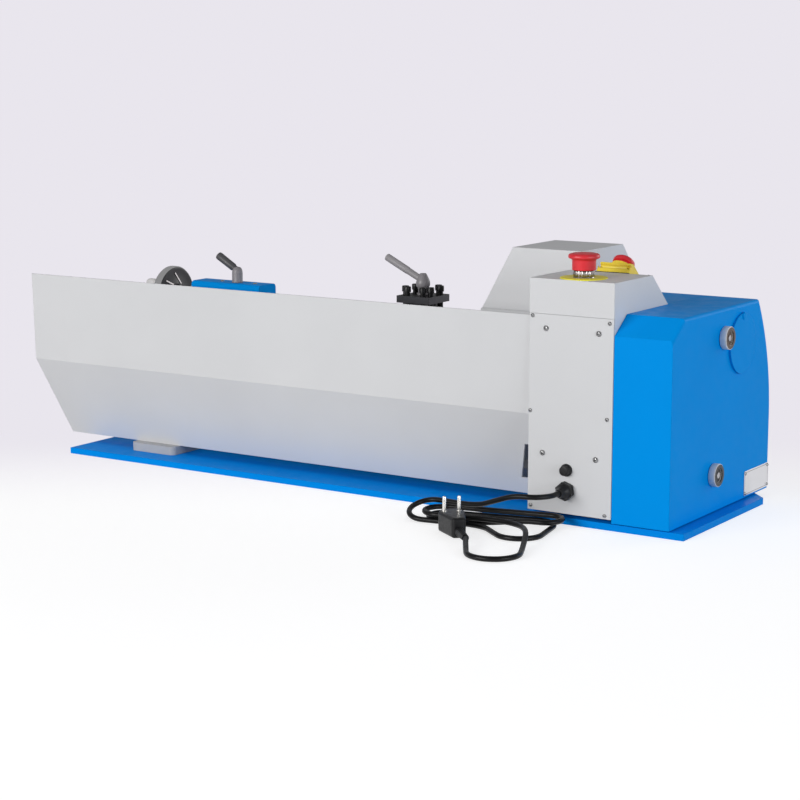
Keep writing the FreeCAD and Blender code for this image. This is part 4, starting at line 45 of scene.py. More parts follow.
class Look:
    """One material under construction: a Principled shader and the nodes that feed it."""

    def __init__(self, name, roughness, metallic=0.0, **sockets):
        self.material = bpy.data.materials.new(name)
        self.material.use_nodes = True
        self.tree = self.material.node_tree
        self.shader = self.tree.nodes["Principled BSDF"]
        self.shader.inputs["Roughness"].default_value = roughness
        self.shader.inputs["Metallic"].default_value = metallic
        for socket, value in sockets.items():
            self.shader.inputs[socket.replace("_", " ")].default_value = value
        self.place = self.add("ShaderNodeTexCoord").outputs["Object"]

    def add(self, kind, inputs=None, **properties):
        node = self.tree.nodes.new(kind)
        for key, value in properties.items():
            setattr(node, key, value)
        for key, value in (inputs or {}).items():
            if isinstance(value, bpy.types.NodeSocket):
                self.tree.links.new(value, node.inputs[key])
            else:
                node.inputs[key].default_value = value
        return node

    def moved(self, scale):
        return self.add("ShaderNodeMapping", {"Vector": self.place, "Scale": scale}).outputs["Vector"]

    def noise(self, scale, detail=3.0, stretch=None, roughness=0.5):
        place = self.place if stretch is None else self.moved(stretch)
        inputs = {"Vector": place, "Scale": scale, "Detail": detail, "Roughness": roughness}
        return self.add("ShaderNodeTexNoise", inputs).outputs["Fac"]

    def span(self, value, low, high, to_low=0.0, to_high=1.0):
        inputs = {"Value": value, "From Min": low, "From Max": high, "To Min": to_low, "To Max": to_high}
        return self.add("ShaderNodeMapRange", inputs).outputs["Result"]

    def maths(self, operation, first, second):
        return self.add("ShaderNodeMath", {0: first, 1: second}, operation=operation).outputs[0]

    def blend(self, factor, first, second):
        first = (*first, 1) if isinstance(first, tuple) else first
        second = (*second, 1) if isinstance(second, tuple) else second
        node = self.add("ShaderNodeMix", {0: factor, 6: first, 7: second}, data_type="RGBA")
        return node.outputs[2]

    def colour(self, value):
        self.tree.links.new(value, self.shader.inputs["Base Color"])

    def roughness(self, value):
        self.tree.links.new(value, self.shader.inputs["Roughness"])

    def metallic(self, value):
        self.tree.links.new(value, self.shader.inputs["Metallic"])

    def rounded(self, radius):
        return self.add("ShaderNodeBevel", {"Radius": radius}, samples=4).outputs["Normal"]

    def edges(self, radius):
        """A mask that is 1 along outer edges, broken up by noise, for wear."""
        true = self.add("ShaderNodeNewGeometry").outputs["Normal"]
        both = {0: self.rounded(radius), 1: true}
        same = self.add("ShaderNodeVectorMath", both, operation="DOT_PRODUCT").outputs["Value"]
        edge = self.span(same, 0.94, 0.75)
        return self.maths("MULTIPLY", edge, self.span(self.noise(90, 4), 0.42, 0.62))

    def bump(self, height, distance, strength, normal):
        inputs = {"Height": height, "Distance": distance, "Strength": strength, "Normal": normal}
        bump = self.add("ShaderNodeBump", inputs).outputs["Normal"]
        self.tree.links.new(bump, self.shader.inputs["Normal"])

    def radius_from(self, axis, centre):
        """Distance of the shaded point from a line along an axis through a centre."""
        flat = tuple(0 if name == axis else 1 for name in "XYZ")
        from_centre = self.add(
            "ShaderNodeVectorMath", {0: self.place, 1: centre}, operation="SUBTRACT",
        ).outputs[0]
        across = self.add("ShaderNodeVectorMath", {0: from_centre, 1: flat}, operation="MULTIPLY").outputs[0]
        return self.add("ShaderNodeVectorMath", {0: across}, operation="LENGTH").outputs["Value"]


def painted(
    name, colour, shade, roughness=0.42, grain=1500, depth=0.00003, wear=None, round_edge=0.0008, gloss=0.35,
):
    """Powder coat or enamel: slight clouding, fine grain, and softened edges."""
    look = Look(name, roughness, Specular_IOR_Level=gloss)
    clouds = look.span(look.noise(7, 3), 0.3, 0.7)
    paint = look.blend(clouds, colour, shade)
    if wear:
        paint = look.blend(look.edges(round_edge * 1.5), paint, wear)
    look.colour(paint)
    look.roughness(look.span(look.noise(60, 4), 0.3, 0.7, roughness - 0.05, roughness + 0.07))
    look.bump(look.noise(grain, 2), depth, 0.6, look.rounded(round_edge))
    return look.material


def machined(name, colour, roughness=0.3, stretch=(4, 260, 260), depth=0.00002, stain=(0.2, 0.17, 0.14)):
    """Milled or ground metal with fine lines along one direction and light oil staining."""
    look = Look(name, roughness, 1.0)
    lines = look.noise(5, 4, stretch, 0.6)
    clouds = look.span(look.noise(22, 4), 0.5, 0.75, 0, 0.35)
    bright = tuple(min(1, part * 1.12) for part in colour)
    look.colour(look.blend(clouds, look.blend(lines, colour, bright), stain))
    look.roughness(look.span(lines, 0.3, 0.7, roughness - 0.07, roughness + 0.12))
    look.bump(lines, depth, 0.5, look.rounded(0.0005))
    return look.material


def turned_metal(name, roughness, rings):
    """Bright metal turned on the spindle: fine rings round its axis, drifting a little along it."""
    look = Look(name, roughness, 1.0, Base_Color=(0.8, 0.8, 0.8, 1))
    radius = look.radius_from("X", SPINDLE)
    along = look.add("ShaderNodeVectorMath", {0: look.moved((1, 0, 0))}, operation="LENGTH").outputs["Value"]
    drift = look.maths("MULTIPLY", along, rings * 0.35)
    reach = look.maths("ADD", look.maths("MULTIPLY", radius, rings * 0.4), drift)
    inputs = {"W": reach, "Scale": 1.0, "Detail": 3.0}
    fine = look.add("ShaderNodeTexNoise", inputs, noise_dimensions="1D").outputs["Fac"]
    look.roughness(look.span(fine, 0.3, 0.7, roughness - 0.06, roughness + 0.1))
    look.bump(fine, 0.000012, 0.6, look.rounded(0.0004))
    return look.material


def moulded(name, colour, roughness=0.38, grain=2200, depth=0.00004, gloss=0.5):
    """Moulded plastic or rubber: one colour with a faint drift and a fine grained surface."""
    look = Look(name, roughness, Specular_IOR_Level=gloss)
    lighter = tuple(min(1, part * 1.25 + 0.002) for part in colour)
    look.colour(look.blend(look.span(look.noise(30, 3), 0.35, 0.7), colour, lighter))
    look.roughness(look.span(look.noise(220, 3), 0.3, 0.7, roughness - 0.06, roughness + 0.08))
    look.bump(look.noise(grain, 2), depth, 0.5, look.rounded(0.0006))
    return look.material


def polished(name, colour, roughness=0.08):
    """Bright plated metal with faint smears."""
    look = Look(name, roughness, 1.0)
    look.roughness(look.span(look.noise(120, 4), 0.4, 0.8, roughness, roughness + 0.12))
    smears = look.span(look.noise(40, 3), 0.45, 0.75, 0, 0.25)
    look.colour(look.blend(smears, colour, tuple(part * 0.75 for part in colour)))
    look.bump(look.noise(700, 2), 0.00001, 0.3, look.rounded(0.0003))
    return look.material


def wheel_look(name, axis, centre, rim, dial_end, grip_start):
    """Black dished wheel with a polished dial, and a polished rim beyond a radius, between dial and grip."""
    look = Look(name, 0.34, 1.0)
    radius = look.radius_from(axis, centre)
    split = look.add("ShaderNodeSeparateXYZ", {0: look.place}).outputs[axis]
    outward = 1 if grip_start > dial_end else -1
    along = look.maths("MULTIPLY", split, outward)
    on_dial = look.maths("LESS_THAN", along, dial_end * outward)
    before_grip = look.maths("LESS_THAN", along, grip_start * outward)
    on_rim = look.maths("MULTIPLY", look.maths("GREATER_THAN", radius, rim), before_grip)
    bright = look.maths("MAXIMUM", on_dial, on_rim)
    look.colour(look.blend(bright, (0.022, 0.022, 0.023), (0.86, 0.86, 0.86)))
    look.metallic(bright)
    smears = look.span(look.noise(90, 4), 0.35, 0.7, 0.0, 0.1)
    look.roughness(look.maths("ADD", look.span(bright, 0, 1, 0.4, 0.17), smears))
    look.bump(look.noise(520, 3), 0.00003, 0.4, look.rounded(0.0006))
    return look.material


def cast(name, colour, shade):
    """Painted casting with the low texture of sand under the paint."""
    look = Look(name, 0.5)
    look.colour(look.blend(look.span(look.noise(16, 4), 0.35, 0.7), colour, shade))
    look.roughness(look.span(look.noise(150, 4), 0.3, 0.7, 0.44, 0.6))
    height = look.maths("ADD", look.noise(320, 4), look.maths("MULTIPLY", look.noise(45, 3), 0.8))
    look.bump(height, 0.00012, 0.6, look.rounded(0.001))
    return look.material


AXIS_HEIGHT = 220
SPINDLE = (0, 0, 0.220)
GREY = painted("grey_paint", (0.66, 0.665, 0.68), (0.69, 0.695, 0.71))
BLUE = painted("blue_paint", (0.0, 0.29, 0.82), (0.0, 0.305, 0.85), 0.36, 900, round_edge=0.0012, gloss=0.02)
TRAY_BLUE = painted(
    "tray_blue", (0.0, 0.255, 0.80), (0.0, 0.27, 0.83), 0.38, 900, round_edge=0.001, gloss=0.02,
)
BED = cast("bed_grey", (0.38, 0.38, 0.39), (0.45, 0.45, 0.46))
MACHINED = machined("machined_iron", (0.42, 0.42, 0.43))
MACHINED_Y = machined("machined_across", (0.42, 0.42, 0.43), stretch=(260, 4, 260))
SPINDLE_STEEL = turned_metal("spindle_steel", 0.25, 9000)
CHUCK_STEEL = turned_metal("chuck_steel", 0.22, 7000)
GEAR_STEEL = machined("gear_steel", (0.34, 0.33, 0.32), 0.36, (200, 30, 30))
SCREW_STEEL = machined("leadscrew_steel", (0.5, 0.49, 0.48), 0.25, (300, 40, 40))
JAW_STEEL = machined("jaw_steel", (0.42, 0.41, 0.4), 0.26, (260, 40, 40))
BLACKENED = machined("black_oxide", (0.055, 0.055, 0.06), 0.42, (60, 60, 60), 0.00004, (0.12, 0.115, 0.11))
SCREW_BLACK = moulded("screw_black", (0.007, 0.007, 0.008), 0.34, 900, gloss=0.25)
LEVER_STEEL = machined("lever_steel", (0.40, 0.38, 0.40), 0.38, (90, 90, 90), 0.00003, (0.3, 0.29, 0.3))
GRIP_STEEL = painted(
    "grip_steel", (0.08, 0.078, 0.085), (0.06, 0.06, 0.065), 0.42, 2200, 0.00005,
    wear=(0.2, 0.19, 0.2), round_edge=0.0004, gloss=0.5,
)
ARM_STEEL = painted(
    "arm_steel", (0.36, 0.34, 0.36), (0.29, 0.28, 0.29), 0.46, 2200, 0.00005,
    wear=(0.42, 0.4, 0.42), round_edge=0.0004,
)
HUB_STEEL = painted(
    "hub_steel", (0.27, 0.255, 0.27), (0.22, 0.21, 0.225), 0.42, 1600, 0.00004,
    wear=(0.36, 0.34, 0.36), round_edge=0.0004, gloss=0.5,
)
CHROME = polished("chrome", (0.78, 0.78, 0.79))
COLLAR = polished("collar_chrome", (0.36, 0.33, 0.32), 0.2)
PIN_METAL = polished("pin_metal", (0.8, 0.78, 0.74), 0.14)
ALLOY = machined("knob_alloy", (0.66, 0.66, 0.67), 0.4, (200, 60, 60), 0.00002, (0.4, 0.4, 0.4))
NUT_RIM = painted(
    "nut_rim", (0.86, 0.84, 0.83), (0.76, 0.745, 0.74), 0.4, 2400, 0.00004,
    wear=(0.9, 0.89, 0.89), round_edge=0.0004, gloss=0.5,
)
KNOB_FACE = painted("knob_face", (0.12, 0.085, 0.068), (0.085, 0.07, 0.06), 0.42, 2400, 0.00004, gloss=0.3)
NUT_FACE = painted("nut_face", (0.05, 0.05, 0.055), (0.07, 0.07, 0.07), 0.42, 2400, 0.00004, gloss=0.3)
BLACK_PLASTIC = moulded("black_plastic", (0.008, 0.008, 0.009), gloss=0.25)
CARRIAGE_WHEEL = wheel_look("carriage_wheel", "Y", (-0.048, 0, 0.0720), 0.0335, -0.1142, -0.1275)
CROSS_WHEEL = wheel_look("cross_wheel", "Y", (0.008, 0, 0.120), 0.0245, -0.1040, -0.1160)
TOP_WHEEL = wheel_look("top_wheel", "X", (0, -0.0015, 0.1816), 0.0185, 0.0843, 0.0943)
TAIL_WHEEL = wheel_look("tail_wheel", "X", SPINDLE, 0.0422, 0.4234, 0.4900)
RUBBER = moulded("cord_rubber", (0.003, 0.003, 0.0035), 0.34, 1500, 0.00005, 0.22)
BELT = moulded("belt_rubber", (0.02, 0.02, 0.02), 0.6, 900)
RED = moulded("red_plastic", (0.62, 0.018, 0.03), 0.36, 1200, 0.00002)
YELLOW = moulded("yellow_plastic", (0.83, 0.62, 0.05), 0.36, 1600, 0.00003)
RING_YELLOW = moulded("ring_yellow", (0.78, 0.72, 0.02), 0.42, 1600, 0.00002)
GREEN = moulded("green_plastic", (0.02, 0.36, 0.07), 0.34, 1200)
MOTOR = painted("motor_enamel", (0.04, 0.04, 0.045), (0.05, 0.05, 0.055), 0.4)
PLATE = machined("plate_alloy", (0.7, 0.7, 0.71), 0.36, (300, 6, 300), 0.00001, (0.55, 0.55, 0.56))
PANEL = painted("panel_dark", (0.05, 0.055, 0.065), (0.06, 0.065, 0.075), 0.45)
# Flat black: painted shade in place of the hollows of the fuse slot and the chuck's key sockets, and the
# colour of the printed degree marks
HOLLOW_SHADE_AND_MARKS = moulded("painted_hollow_shade_and_marks", (0.008, 0.008, 0.009), 0.7)
BRASS = polished("brass", (0.72, 0.5, 0.2), 0.22)
ZINC = polished("zinc_screws", (0.32, 0.32, 0.325), 0.24)
GLASS = moulded("display_glass", (0.01, 0.012, 0.014), 0.08, 600, 0.000002)
MARKING = moulded("white_marking", (0.78, 0.78, 0.78), 0.5)

FINISHES = {
    BLUE: ["gear_cover", "tailstock_body", "bore_cover"],
    TRAY_BLUE: ["chip_tray"],
    GREY: ["headstock", "control_box", "rear_cover", "chuck_guard", "splash_guard", "apron"],
    BED: ["bed"],
    MACHINED: ["saddle", "top_slide", "compound_base", "leadscrew_brackets"],
    MACHINED_Y: ["cross_slide", "gear_plate", "gear_quadrant"],
    SPINDLE_STEEL: ["spindle", "spindle_pulley", "motor_pulley", "spindle_bearings", "quill", "dead_centre"],
    CHUCK_STEEL: ["chuck_body"],
    JAW_STEEL: ["chuck_jaw_1", "chuck_jaw_2", "chuck_jaw_3"],
    GEAR_STEEL: ["rack", "spindle_gear", "idler_gear", "leadscrew_gear"],
    SCREW_STEEL: ["leadscrew"],
    BLACKENED: ["tool_post"],
    SCREW_BLACK: ["tool_screws"],
    LEVER_STEEL: ["tool_post_lever", "quill_lock_lever", "half_nut_lever"],
    CHROME: ["estop_collar"],
    ALLOY: ["cover_knob_upper", "cover_knob_lower"],
    BLACK_PLASTIC: ["fuse_holder", "cable_gland", "speed_knob", "direction_switch", "switch_body", "plug"],
    CARRIAGE_WHEEL: ["carriage_handwheel"],
    CROSS_WHEEL: ["cross_handwheel"],
    TOP_WHEEL: ["top_slide_handwheel"],
    TAIL_WHEEL: ["tailstock_handwheel"],
    RED: ["estop_button", "stop_button"],
    YELLOW: ["switch_lid"],
    GREEN: ["start_button"],
    BELT: ["drive_belt"],
    RUBBER: ["power_cord", "cord_hank", "plug_cord"],
    MOTOR: ["motor"],
}
for material, names in FINISHES.items():
    for name in names:
        nodes[name].data.materials.clear()
        nodes[name].data.materials.append(material)
unfinished = sorted(set(nodes) - {name for names in FINISHES.values() for name in names})
if unfinished:
    raise SystemExit(f"nodes without a finish: {unfinished}")


# Building small pieces

AXES = {
    "X": Matrix(((0, 0, 1), (1, 0, 0), (0, 1, 0))).to_4x4(),
    "Y": Matrix(((0, 1, 0), (0, 0, 1), (1, 0, 0))).to_4x4(),
    "Z": Matrix.Identity(4),
}


def settle(piece, body, material, stands_for=()):
    """Gives a new piece its material and body, and hides the parts it stands for."""
    piece.data.materials.clear()
    piece.data.materials.append(material)
    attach(piece, body)
    if stands_for:
        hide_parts(*stands_for)
    return piece


def finish_mesh(name, mesh, matrices=None, smooth=35, bevel=0.0):
    """Makes an object from a bmesh, once or at several places in one object."""
    if matrices:
        whole = bmesh.new()
        for matrix in matrices:
            copy = mesh.copy()
            bmesh.ops.transform(copy, matrix=matrix, verts=copy.verts)
            data = bpy.data.meshes.new("part")
            copy.to_mesh(data)
            whole.from_mesh(data)
            bpy.data.meshes.remove(data)
            copy.free()
        mesh.free()
        mesh = whole
    bmesh.ops.recalc_face_normals(mesh, faces=mesh.faces)
    data = bpy.data.meshes.new(name)
    mesh.to_mesh(data)
    mesh.free()
    data.shade_smooth()
    data.set_sharp_from_angle(angle=math.radians(smooth))
    piece = bpy.data.objects.new(name, data)
    bpy.context.scene.collection.objects.link(piece)
    if bevel:
        edge = piece.modifiers.new("edges", "BEVEL")
        edge.width = bevel
        edge.segments = 2
        edge.limit_method = "ANGLE"
        edge.angle_limit = math.radians(32)
        edge.harden_normals = True
    return piece


def polar(reach, angle, height):
    """A point at a distance from Z, in metres, from lengths in mm."""
    return reach * MM * math.cos(angle), reach * MM * math.sin(angle), height * MM


def skin(mesh, rings):
    """Faces between rings of vertices in a row; a ring may be a single vertex on the axis."""
    for first, second in zip(rings, rings[1:]):
        steps = max(len(first), len(second))
        for step in range(steps):
            after = (step + 1) % steps
            if len(first) == 1:
                mesh.faces.new((first[0], second[step], second[after]))
            elif len(second) == 1:
                mesh.faces.new((first[step], second[0], first[after]))
            else:
                mesh.faces.new((first[step], second[step], second[after], first[after]))


def turned(profile, steps=72, knurl=None):
    """A bmesh turned round Z from (height, radius) pairs in mm. knurl is (low, high, teeth, depth)."""
    mesh = bmesh.new()
    rings = []
    for height, radius in profile:
        if radius == 0:
            rings.append([mesh.verts.new((0, 0, height * MM))])
            continue
        ring = []
        for step in range(steps):
            angle = 2 * math.pi * step / steps
            reach = radius
            if knurl and knurl[0] <= height <= knurl[1]:
                reach -= knurl[3] * (0.5 + 0.5 * math.cos(angle * knurl[2]))
            ring.append(mesh.verts.new(polar(reach, angle, height)))
        rings.append(ring)
    skin(mesh, rings)
    return mesh


def slab(low, high):
    """A bmesh block between two corners, in mm."""
    mesh = bmesh.new()
    bmesh.ops.create_cube(mesh, size=1)
    size = [(b - a) * MM for a, b in zip(low, high)]
    middle = [(a + b) / 2 * MM for a, b in zip(low, high)]
    matrix = Matrix.Translation(middle) @ Matrix.Diagonal((*size, 1))
    bmesh.ops.transform(mesh, matrix=matrix, verts=mesh.verts)
    return mesh


def prism(outline, low, high):
    """A bmesh prism from a flat outline in mm, between two heights."""
    mesh = bmesh.new()
    base = [mesh.verts.new((x * MM, y * MM, low * MM)) for x, y in outline]
    top = [mesh.verts.new((x * MM, y * MM, high * MM)) for x, y in outline]
    mesh.faces.new(base)
    mesh.faces.new(top)
    for step in range(len(outline)):
        after = (step + 1) % len(outline)
        mesh.faces.new((base[step], base[after], top[after], top[step]))
    return mesh


def rounded_box(half_w, half_h, corner):
    """Outline of a rectangle with round corners, in mm, centred on the origin."""
    steps = 6
    outline = []
    for quarter, (sx, sy) in enumerate(((1, 1), (-1, 1), (-1, -1), (1, -1))):
        for step in range(steps + 1):
            angle = math.pi / 2 * (quarter + step / steps)
            x = sx * (half_w - corner) + corner * math.cos(angle)
            y = sy * (half_h - corner) + corner * math.sin(angle)
            outline.append((x, y))
    return outline


def at(x, y, z, toward="Z", turn=0.0):
    """Placement of a piece whose own Z points along an axis, turned about it in degrees."""
    axis = toward[-1]
    flip = Matrix.Rotation(math.pi, 4, "X") if toward.startswith("-") else Matrix.Identity(4)
    spin = Matrix.Rotation(math.radians(turn), 4, "Z")
    return Matrix.Translation((x * MM, y * MM, z * MM)) @ AXES[axis] @ flip @ spin


def crosshead(radius, height):
    """A domed screw head with a cross recess, on Z, as a bmesh."""
    mesh = bmesh.new()
    steps = 48
    rows = [0.12, 0.2, 0.28, 0.36, 0.44, 0.52, 0.6, 0.68, 0.8, 0.9, 0.97, 1.0]
    rings = []
    for share in rows:
        ring = []
        for step in range(steps):
            angle = 2 * math.pi * step / steps
            x, y = radius * share * math.cos(angle), radius * share * math.sin(angle)
            top = height * (1 - 0.55 * share**2.4)
            arm, side = max(abs(x), abs(y)), min(abs(x), abs(y))
            if side < radius * 0.13 and arm < radius * 0.56:
                top -= height * 0.62
            ring.append((x * MM, y * MM, top * MM))
        rings.append(ring)
    rings.append([(x, y, 0) for x, y, top in rings[-1]])
    centre = [mesh.verts.new((0, 0, height * 0.38 * MM))]
    skin(mesh, [centre, *([mesh.verts.new(point) for point in ring] for ring in rings)])
    return mesh


def sockethead(radius, height):
    """A cap screw head with a six-sided socket, on Z, as a bmesh."""
    steps = 36
    mesh = bmesh.new()

    def ring(size, level, hexagon=False):
        points = []
        for step in range(steps):
            angle = 2 * math.pi * step / steps
            reach = size
            if hexagon:
                half_side = math.pi / 6
                reach *= math.cos(half_side) / math.cos((angle + half_side) % (2 * half_side) - half_side)
            points.append(mesh.verts.new(polar(reach, angle, level)))
        return points

    rings = [
        ring(radius, 0), ring(radius, height * 0.86), ring(radius * 0.9, height), ring(radius * 0.62, height),
        ring(radius * 0.56, height * 0.97, True), ring(radius * 0.52, height * 0.4, True),
    ]
    skin(mesh, rings)
    mesh.faces.new(rings[-1])
    return mesh


def cut_out(piece, cutters):
    """Takes the shapes of the cutters out of a piece, and removes the cutters."""
    for cutter in cutters:
        hole = piece.modifiers.new("hole", "BOOLEAN")
        hole.operation = "DIFFERENCE"
        hole.solver = "EXACT"
        hole.object = cutter
    bpy.context.view_layer.update()
    shaped = bpy.data.meshes.new_from_object(piece.evaluated_get(bpy.context.evaluated_depsgraph_get()))
    piece.modifiers.clear()
    piece.data = shaped
    shaped.shade_smooth()
    shaped.set_sharp_from_angle(angle=math.radians(30))
    for cutter in cutters:
        bpy.data.objects.remove(cutter)
    return piece


# Screws of the switch box cover and its sides

BOX_REAR = 205.6
small_places = [
    (-287.6, 265.2), (-396.4, 262.6), (-285.4, 143.3), (-394.9, 141.9), (-393.7, 19.1), (-287.6, 20.5),
]
large_places = [(-307.1, 250.1), (-381.6, 248.7), (-303.9, 90.4), (-379.8, 89.3)]
small = [at(x, BOX_REAR, z, "Y", 20 + 37 * i) for i, (x, z) in enumerate(small_places)]
large = [at(x, BOX_REAR, z, "Y", 10 + 28 * i) for i, (x, z) in enumerate(large_places)]
settle(finish_mesh("cover_screws_small", crosshead(2.6, 1.5), small), "base", ZINC)
settle(finish_mesh("cover_screws_large", crosshead(3.6, 2.0), large), "base", ZINC)

BOX_TOP, BOX_TOP_FRONT, HEAD_TOP, SLOPE_FRONT = 312.9, 101.3, 262.4, 45.0
slope = math.atan2(BOX_TOP - HEAD_TOP, BOX_TOP_FRONT - SLOPE_FRONT)
slope_middle = ((BOX_TOP_FRONT + SLOPE_FRONT) / 2, (BOX_TOP + HEAD_TOP) / 2)


def on_slope(x, along):
    """Placement on the sloping switch panel; along runs up the slope."""
    y = slope_middle[0] + along * math.cos(slope)
    z = slope_middle[1] + along * math.sin(slope)
    return Matrix.Translation((x * MM, y * MM, z * MM)) @ Matrix.Rotation(slope, 4, "X")


slope_screws = [on_slope(x, along) for x in (-396, -289) for along in (-33, 34.6)]
settle(finish_mesh("panel_screws", crosshead(2.6, 1.8), slope_screws), "base", SCREW_BLACK)

# Blue top of the headstock, level with the gear cover, and the end sheet of the chuck guard

HEAD_START, HEAD_END, COVER_TOP, COVER_TOP_FRONT = -402.4, -282.8, 271.2, -56.0
top_outline = [
    (-79.0, HEAD_TOP + 0.1), (COVER_TOP_FRONT, COVER_TOP), (54.4, COVER_TOP), (44.7, HEAD_TOP + 0.1),
]
head_top = prism(top_outline, HEAD_START, HEAD_END)
settle(finish_mesh("headstock_top", head_top, [at(0, 0, 0, "X")], bevel=0.0008), "base", BLUE)
GUARD_START, GUARD_LOW, GUARD_TOP, GUARD_REAR, GUARD_FRONT = -278.0, 274.0, 333.0, 60.0, -108.0
end_outline = [
    (GUARD_REAR, GUARD_LOW), (GUARD_REAR, GUARD_TOP), (-58.0, GUARD_TOP), (GUARD_FRONT, GUARD_TOP - 54.0),
    (GUARD_FRONT, GUARD_LOW),
]
end_sheet = prism(end_outline, GUARD_START - 1.2, GUARD_START - 0.02)
settle(
    finish_mesh("guard_end_sheet", end_sheet, [at(0, 0, 0, "X")], bevel=0.0003), "guard", GREY,
)

# Emergency stop: bare ring plate, collar and mushroom button

STOP = (-343.4, 175.6)
ring_plate = turned([(0.05, 13.6), (1.15, 13.6), (1.25, 14), (1.25, 29.6), (1.1, 30), (0.05, 30)], 96)
settle(finish_mesh("stop_ring", ring_plate, [at(*STOP, BOX_TOP)]), "base", RING_YELLOW)
collar = turned([
    (0.4, 6.6), (0.4, 13.5), (1.2, 13.5), (2.2, 12.7), (3.0, 13.4), (8.6, 13.4), (9.6, 12.8), (9.9, 12.2),
    (9.9, 6.4),
], 192, (2.9, 8.7, 24, 0.5))
settle(
    finish_mesh("stop_collar", collar, [at(*STOP, BOX_TOP)], 40), "base", COLLAR, ["estop_collar"],
)
low = 10.4
knob = turned([
    (low + 8, 6), (low + 8.4, 13.6), (low + 0.2, 13.8), (low, 14.2), (low + 0.2, 14.8), (low + 1.0, 15),
    (low + 11.5, 15), (low + 13.2, 15.5), (low + 14.2, 16.6), (low + 14.6, 18.4), (low + 15.2, 19.6),
    (low + 16.6, 20), (low + 18.6, 19.7), (low + 19.8, 18.9), (low + 20.6, 17.4), (low + 21.3, 14),
    (low + 21.8, 9), (low + 22.1, 4), (low + 22.2, 0),
], 96)
settle(
    finish_mesh("stop_mushroom", knob, [at(*STOP, BOX_TOP)], 50), "estop", RED,
    ["estop_button"],
)

# Switch: yellow housing with a dip for the opened lid's hinge end, and a boss with a red mushroom on the lid

SWITCH_X, HOUSING_LOW, HOUSING_HIGH, LID_TOP = -340, 3.1, 14.9, 24.3
BOSS_RADIUS, BOSS_UPPER, BOSS_LOWER = 15.3, 12.0, -8.4
on_panel = [on_slope(SWITCH_X, 0)]
housing = finish_mesh(
    "switch_housing", prism(rounded_box(23.6, 31.6, 3.0), HOUSING_LOW, HOUSING_HIGH), on_panel,
)
hollow = finish_mesh(
    "cutter", prism(rounded_box(22.1, 30.1, 0.5), HOUSING_LOW - 2, HOUSING_HIGH + 2), on_panel,
)
hinge_dip = finish_mesh("cutter", slab((-22.6, 24, 11.2), (22.6, 34, 18)), on_panel)
settle(cut_out(housing, [hollow, hinge_dip]), "base", YELLOW)
boss = []
for along, first in ((BOSS_UPPER, 0), (BOSS_LOWER, 180)):
    for step in range(13):
        angle = math.radians(first + 15 * step)
        boss.append((BOSS_RADIUS * math.cos(angle), along + BOSS_RADIUS * math.sin(angle)))
boss_shape = prism(boss, LID_TOP - 0.3, LID_TOP + 3.2)
settle(finish_mesh("lid_boss", boss_shape, on_panel, bevel=0.0006), "lid", YELLOW)
mushroom = turned([
    (LID_TOP + 3.1, 11.0), (31.0, 11.2), (31.4, 13.6), (32.0, 14.5), (35.4, 14.6), (37.4, 13.8), (39.2, 11.6),
    (40.4, 8.4), (41.0, 4.6), (41.2, 0),
], 96)
settle(finish_mesh("lid_mushroom", mushroom, [on_slope(SWITCH_X, BOSS_UPPER)], 40), "lid", RED)

# Cable gland and fuse holder

GLAND_X, GLAND_Z, FUSE_Z, NUT_RADIUS = -339.0, 45.2, 71.7, 12.5
gland_place, fuse_place = [at(GLAND_X, BOX_REAR, GLAND_Z, "Y")], [at(GLAND_X, BOX_REAR, FUSE_Z, "Y")]
corners = [math.radians(60 * corner + 12) for corner in range(6)]
hexagon = [(NUT_RADIUS * math.cos(angle), NUT_RADIUS * math.sin(angle)) for angle in corners]
nut = finish_mesh("gland_nut", prism(hexagon, 0.2, 8.6), gland_place, bevel=0.0007)
settle(nut, "base", BLACK_PLASTIC, ["cable_gland"])
dome = turned([
    (8.0, 10.4), (9.4, 10.3), (11.0, 9.7), (12.4, 8.8), (13.6, 7.6), (14.8, 6.8), (17.0, 5.9), (19.4, 5.1),
    (21.0, 4.7), (21.0, 3.4),
], 64)
settle(finish_mesh("gland_dome", dome, gland_place, 40), "base", BLACK_PLASTIC)
fuse = turned([
    (-12, 0), (-12, 5), (0.1, 5.2), (0.1, 8), (2.2, 8), (2.7, 7.4), (3.2, 6.9), (8.0, 6.5), (8.8, 6.0),
    (9.0, 5.2), (9.0, 1.0), (9.0, 0),
], 72, (2.9, 8.1, 18, 0.5))
settle(finish_mesh("fuse_cap", fuse, fuse_place, 50), "base", BLACK_PLASTIC, ["fuse_holder"])
# The fuse cap's slot is not cut: a thin black bar on the cap is painted shade in its place
slot_place = [at(GLAND_X, BOX_REAR, FUSE_Z, "Y", 35)]
slot_shade = finish_mesh("fuse_slot_shade", slab((-4.4, -0.7, 8.7), (4.4, 0.7, 9.06)), slot_place)
settle(slot_shade, "base", HOLLOW_SHADE_AND_MARKS)

# Mains cord: its route in the frame of the hank, in mm

CORD_FLOOR = 3.6
HANK_TOP = 21.5
HANK_X, HANK_Y, HANK_TURN = -255.0, 249.6, math.radians(11.5)
PITCH, OUTER, FORE, AFT = 7.9, 25.0, 64.0, 71.0
INNER = OUTER - PITCH
FOLD = (OUTER + INNER) / 2
MIDDLE = (INNER - OUTER) / 2
HIGH = CORD_FLOOR + PITCH
FOLD_CORNERS = 12
PLUG_PLACE = (-8.0, 119.0)
PLUG_TURN = HANK_TURN + math.radians(-57)
SLEEVE_Z = 9.0


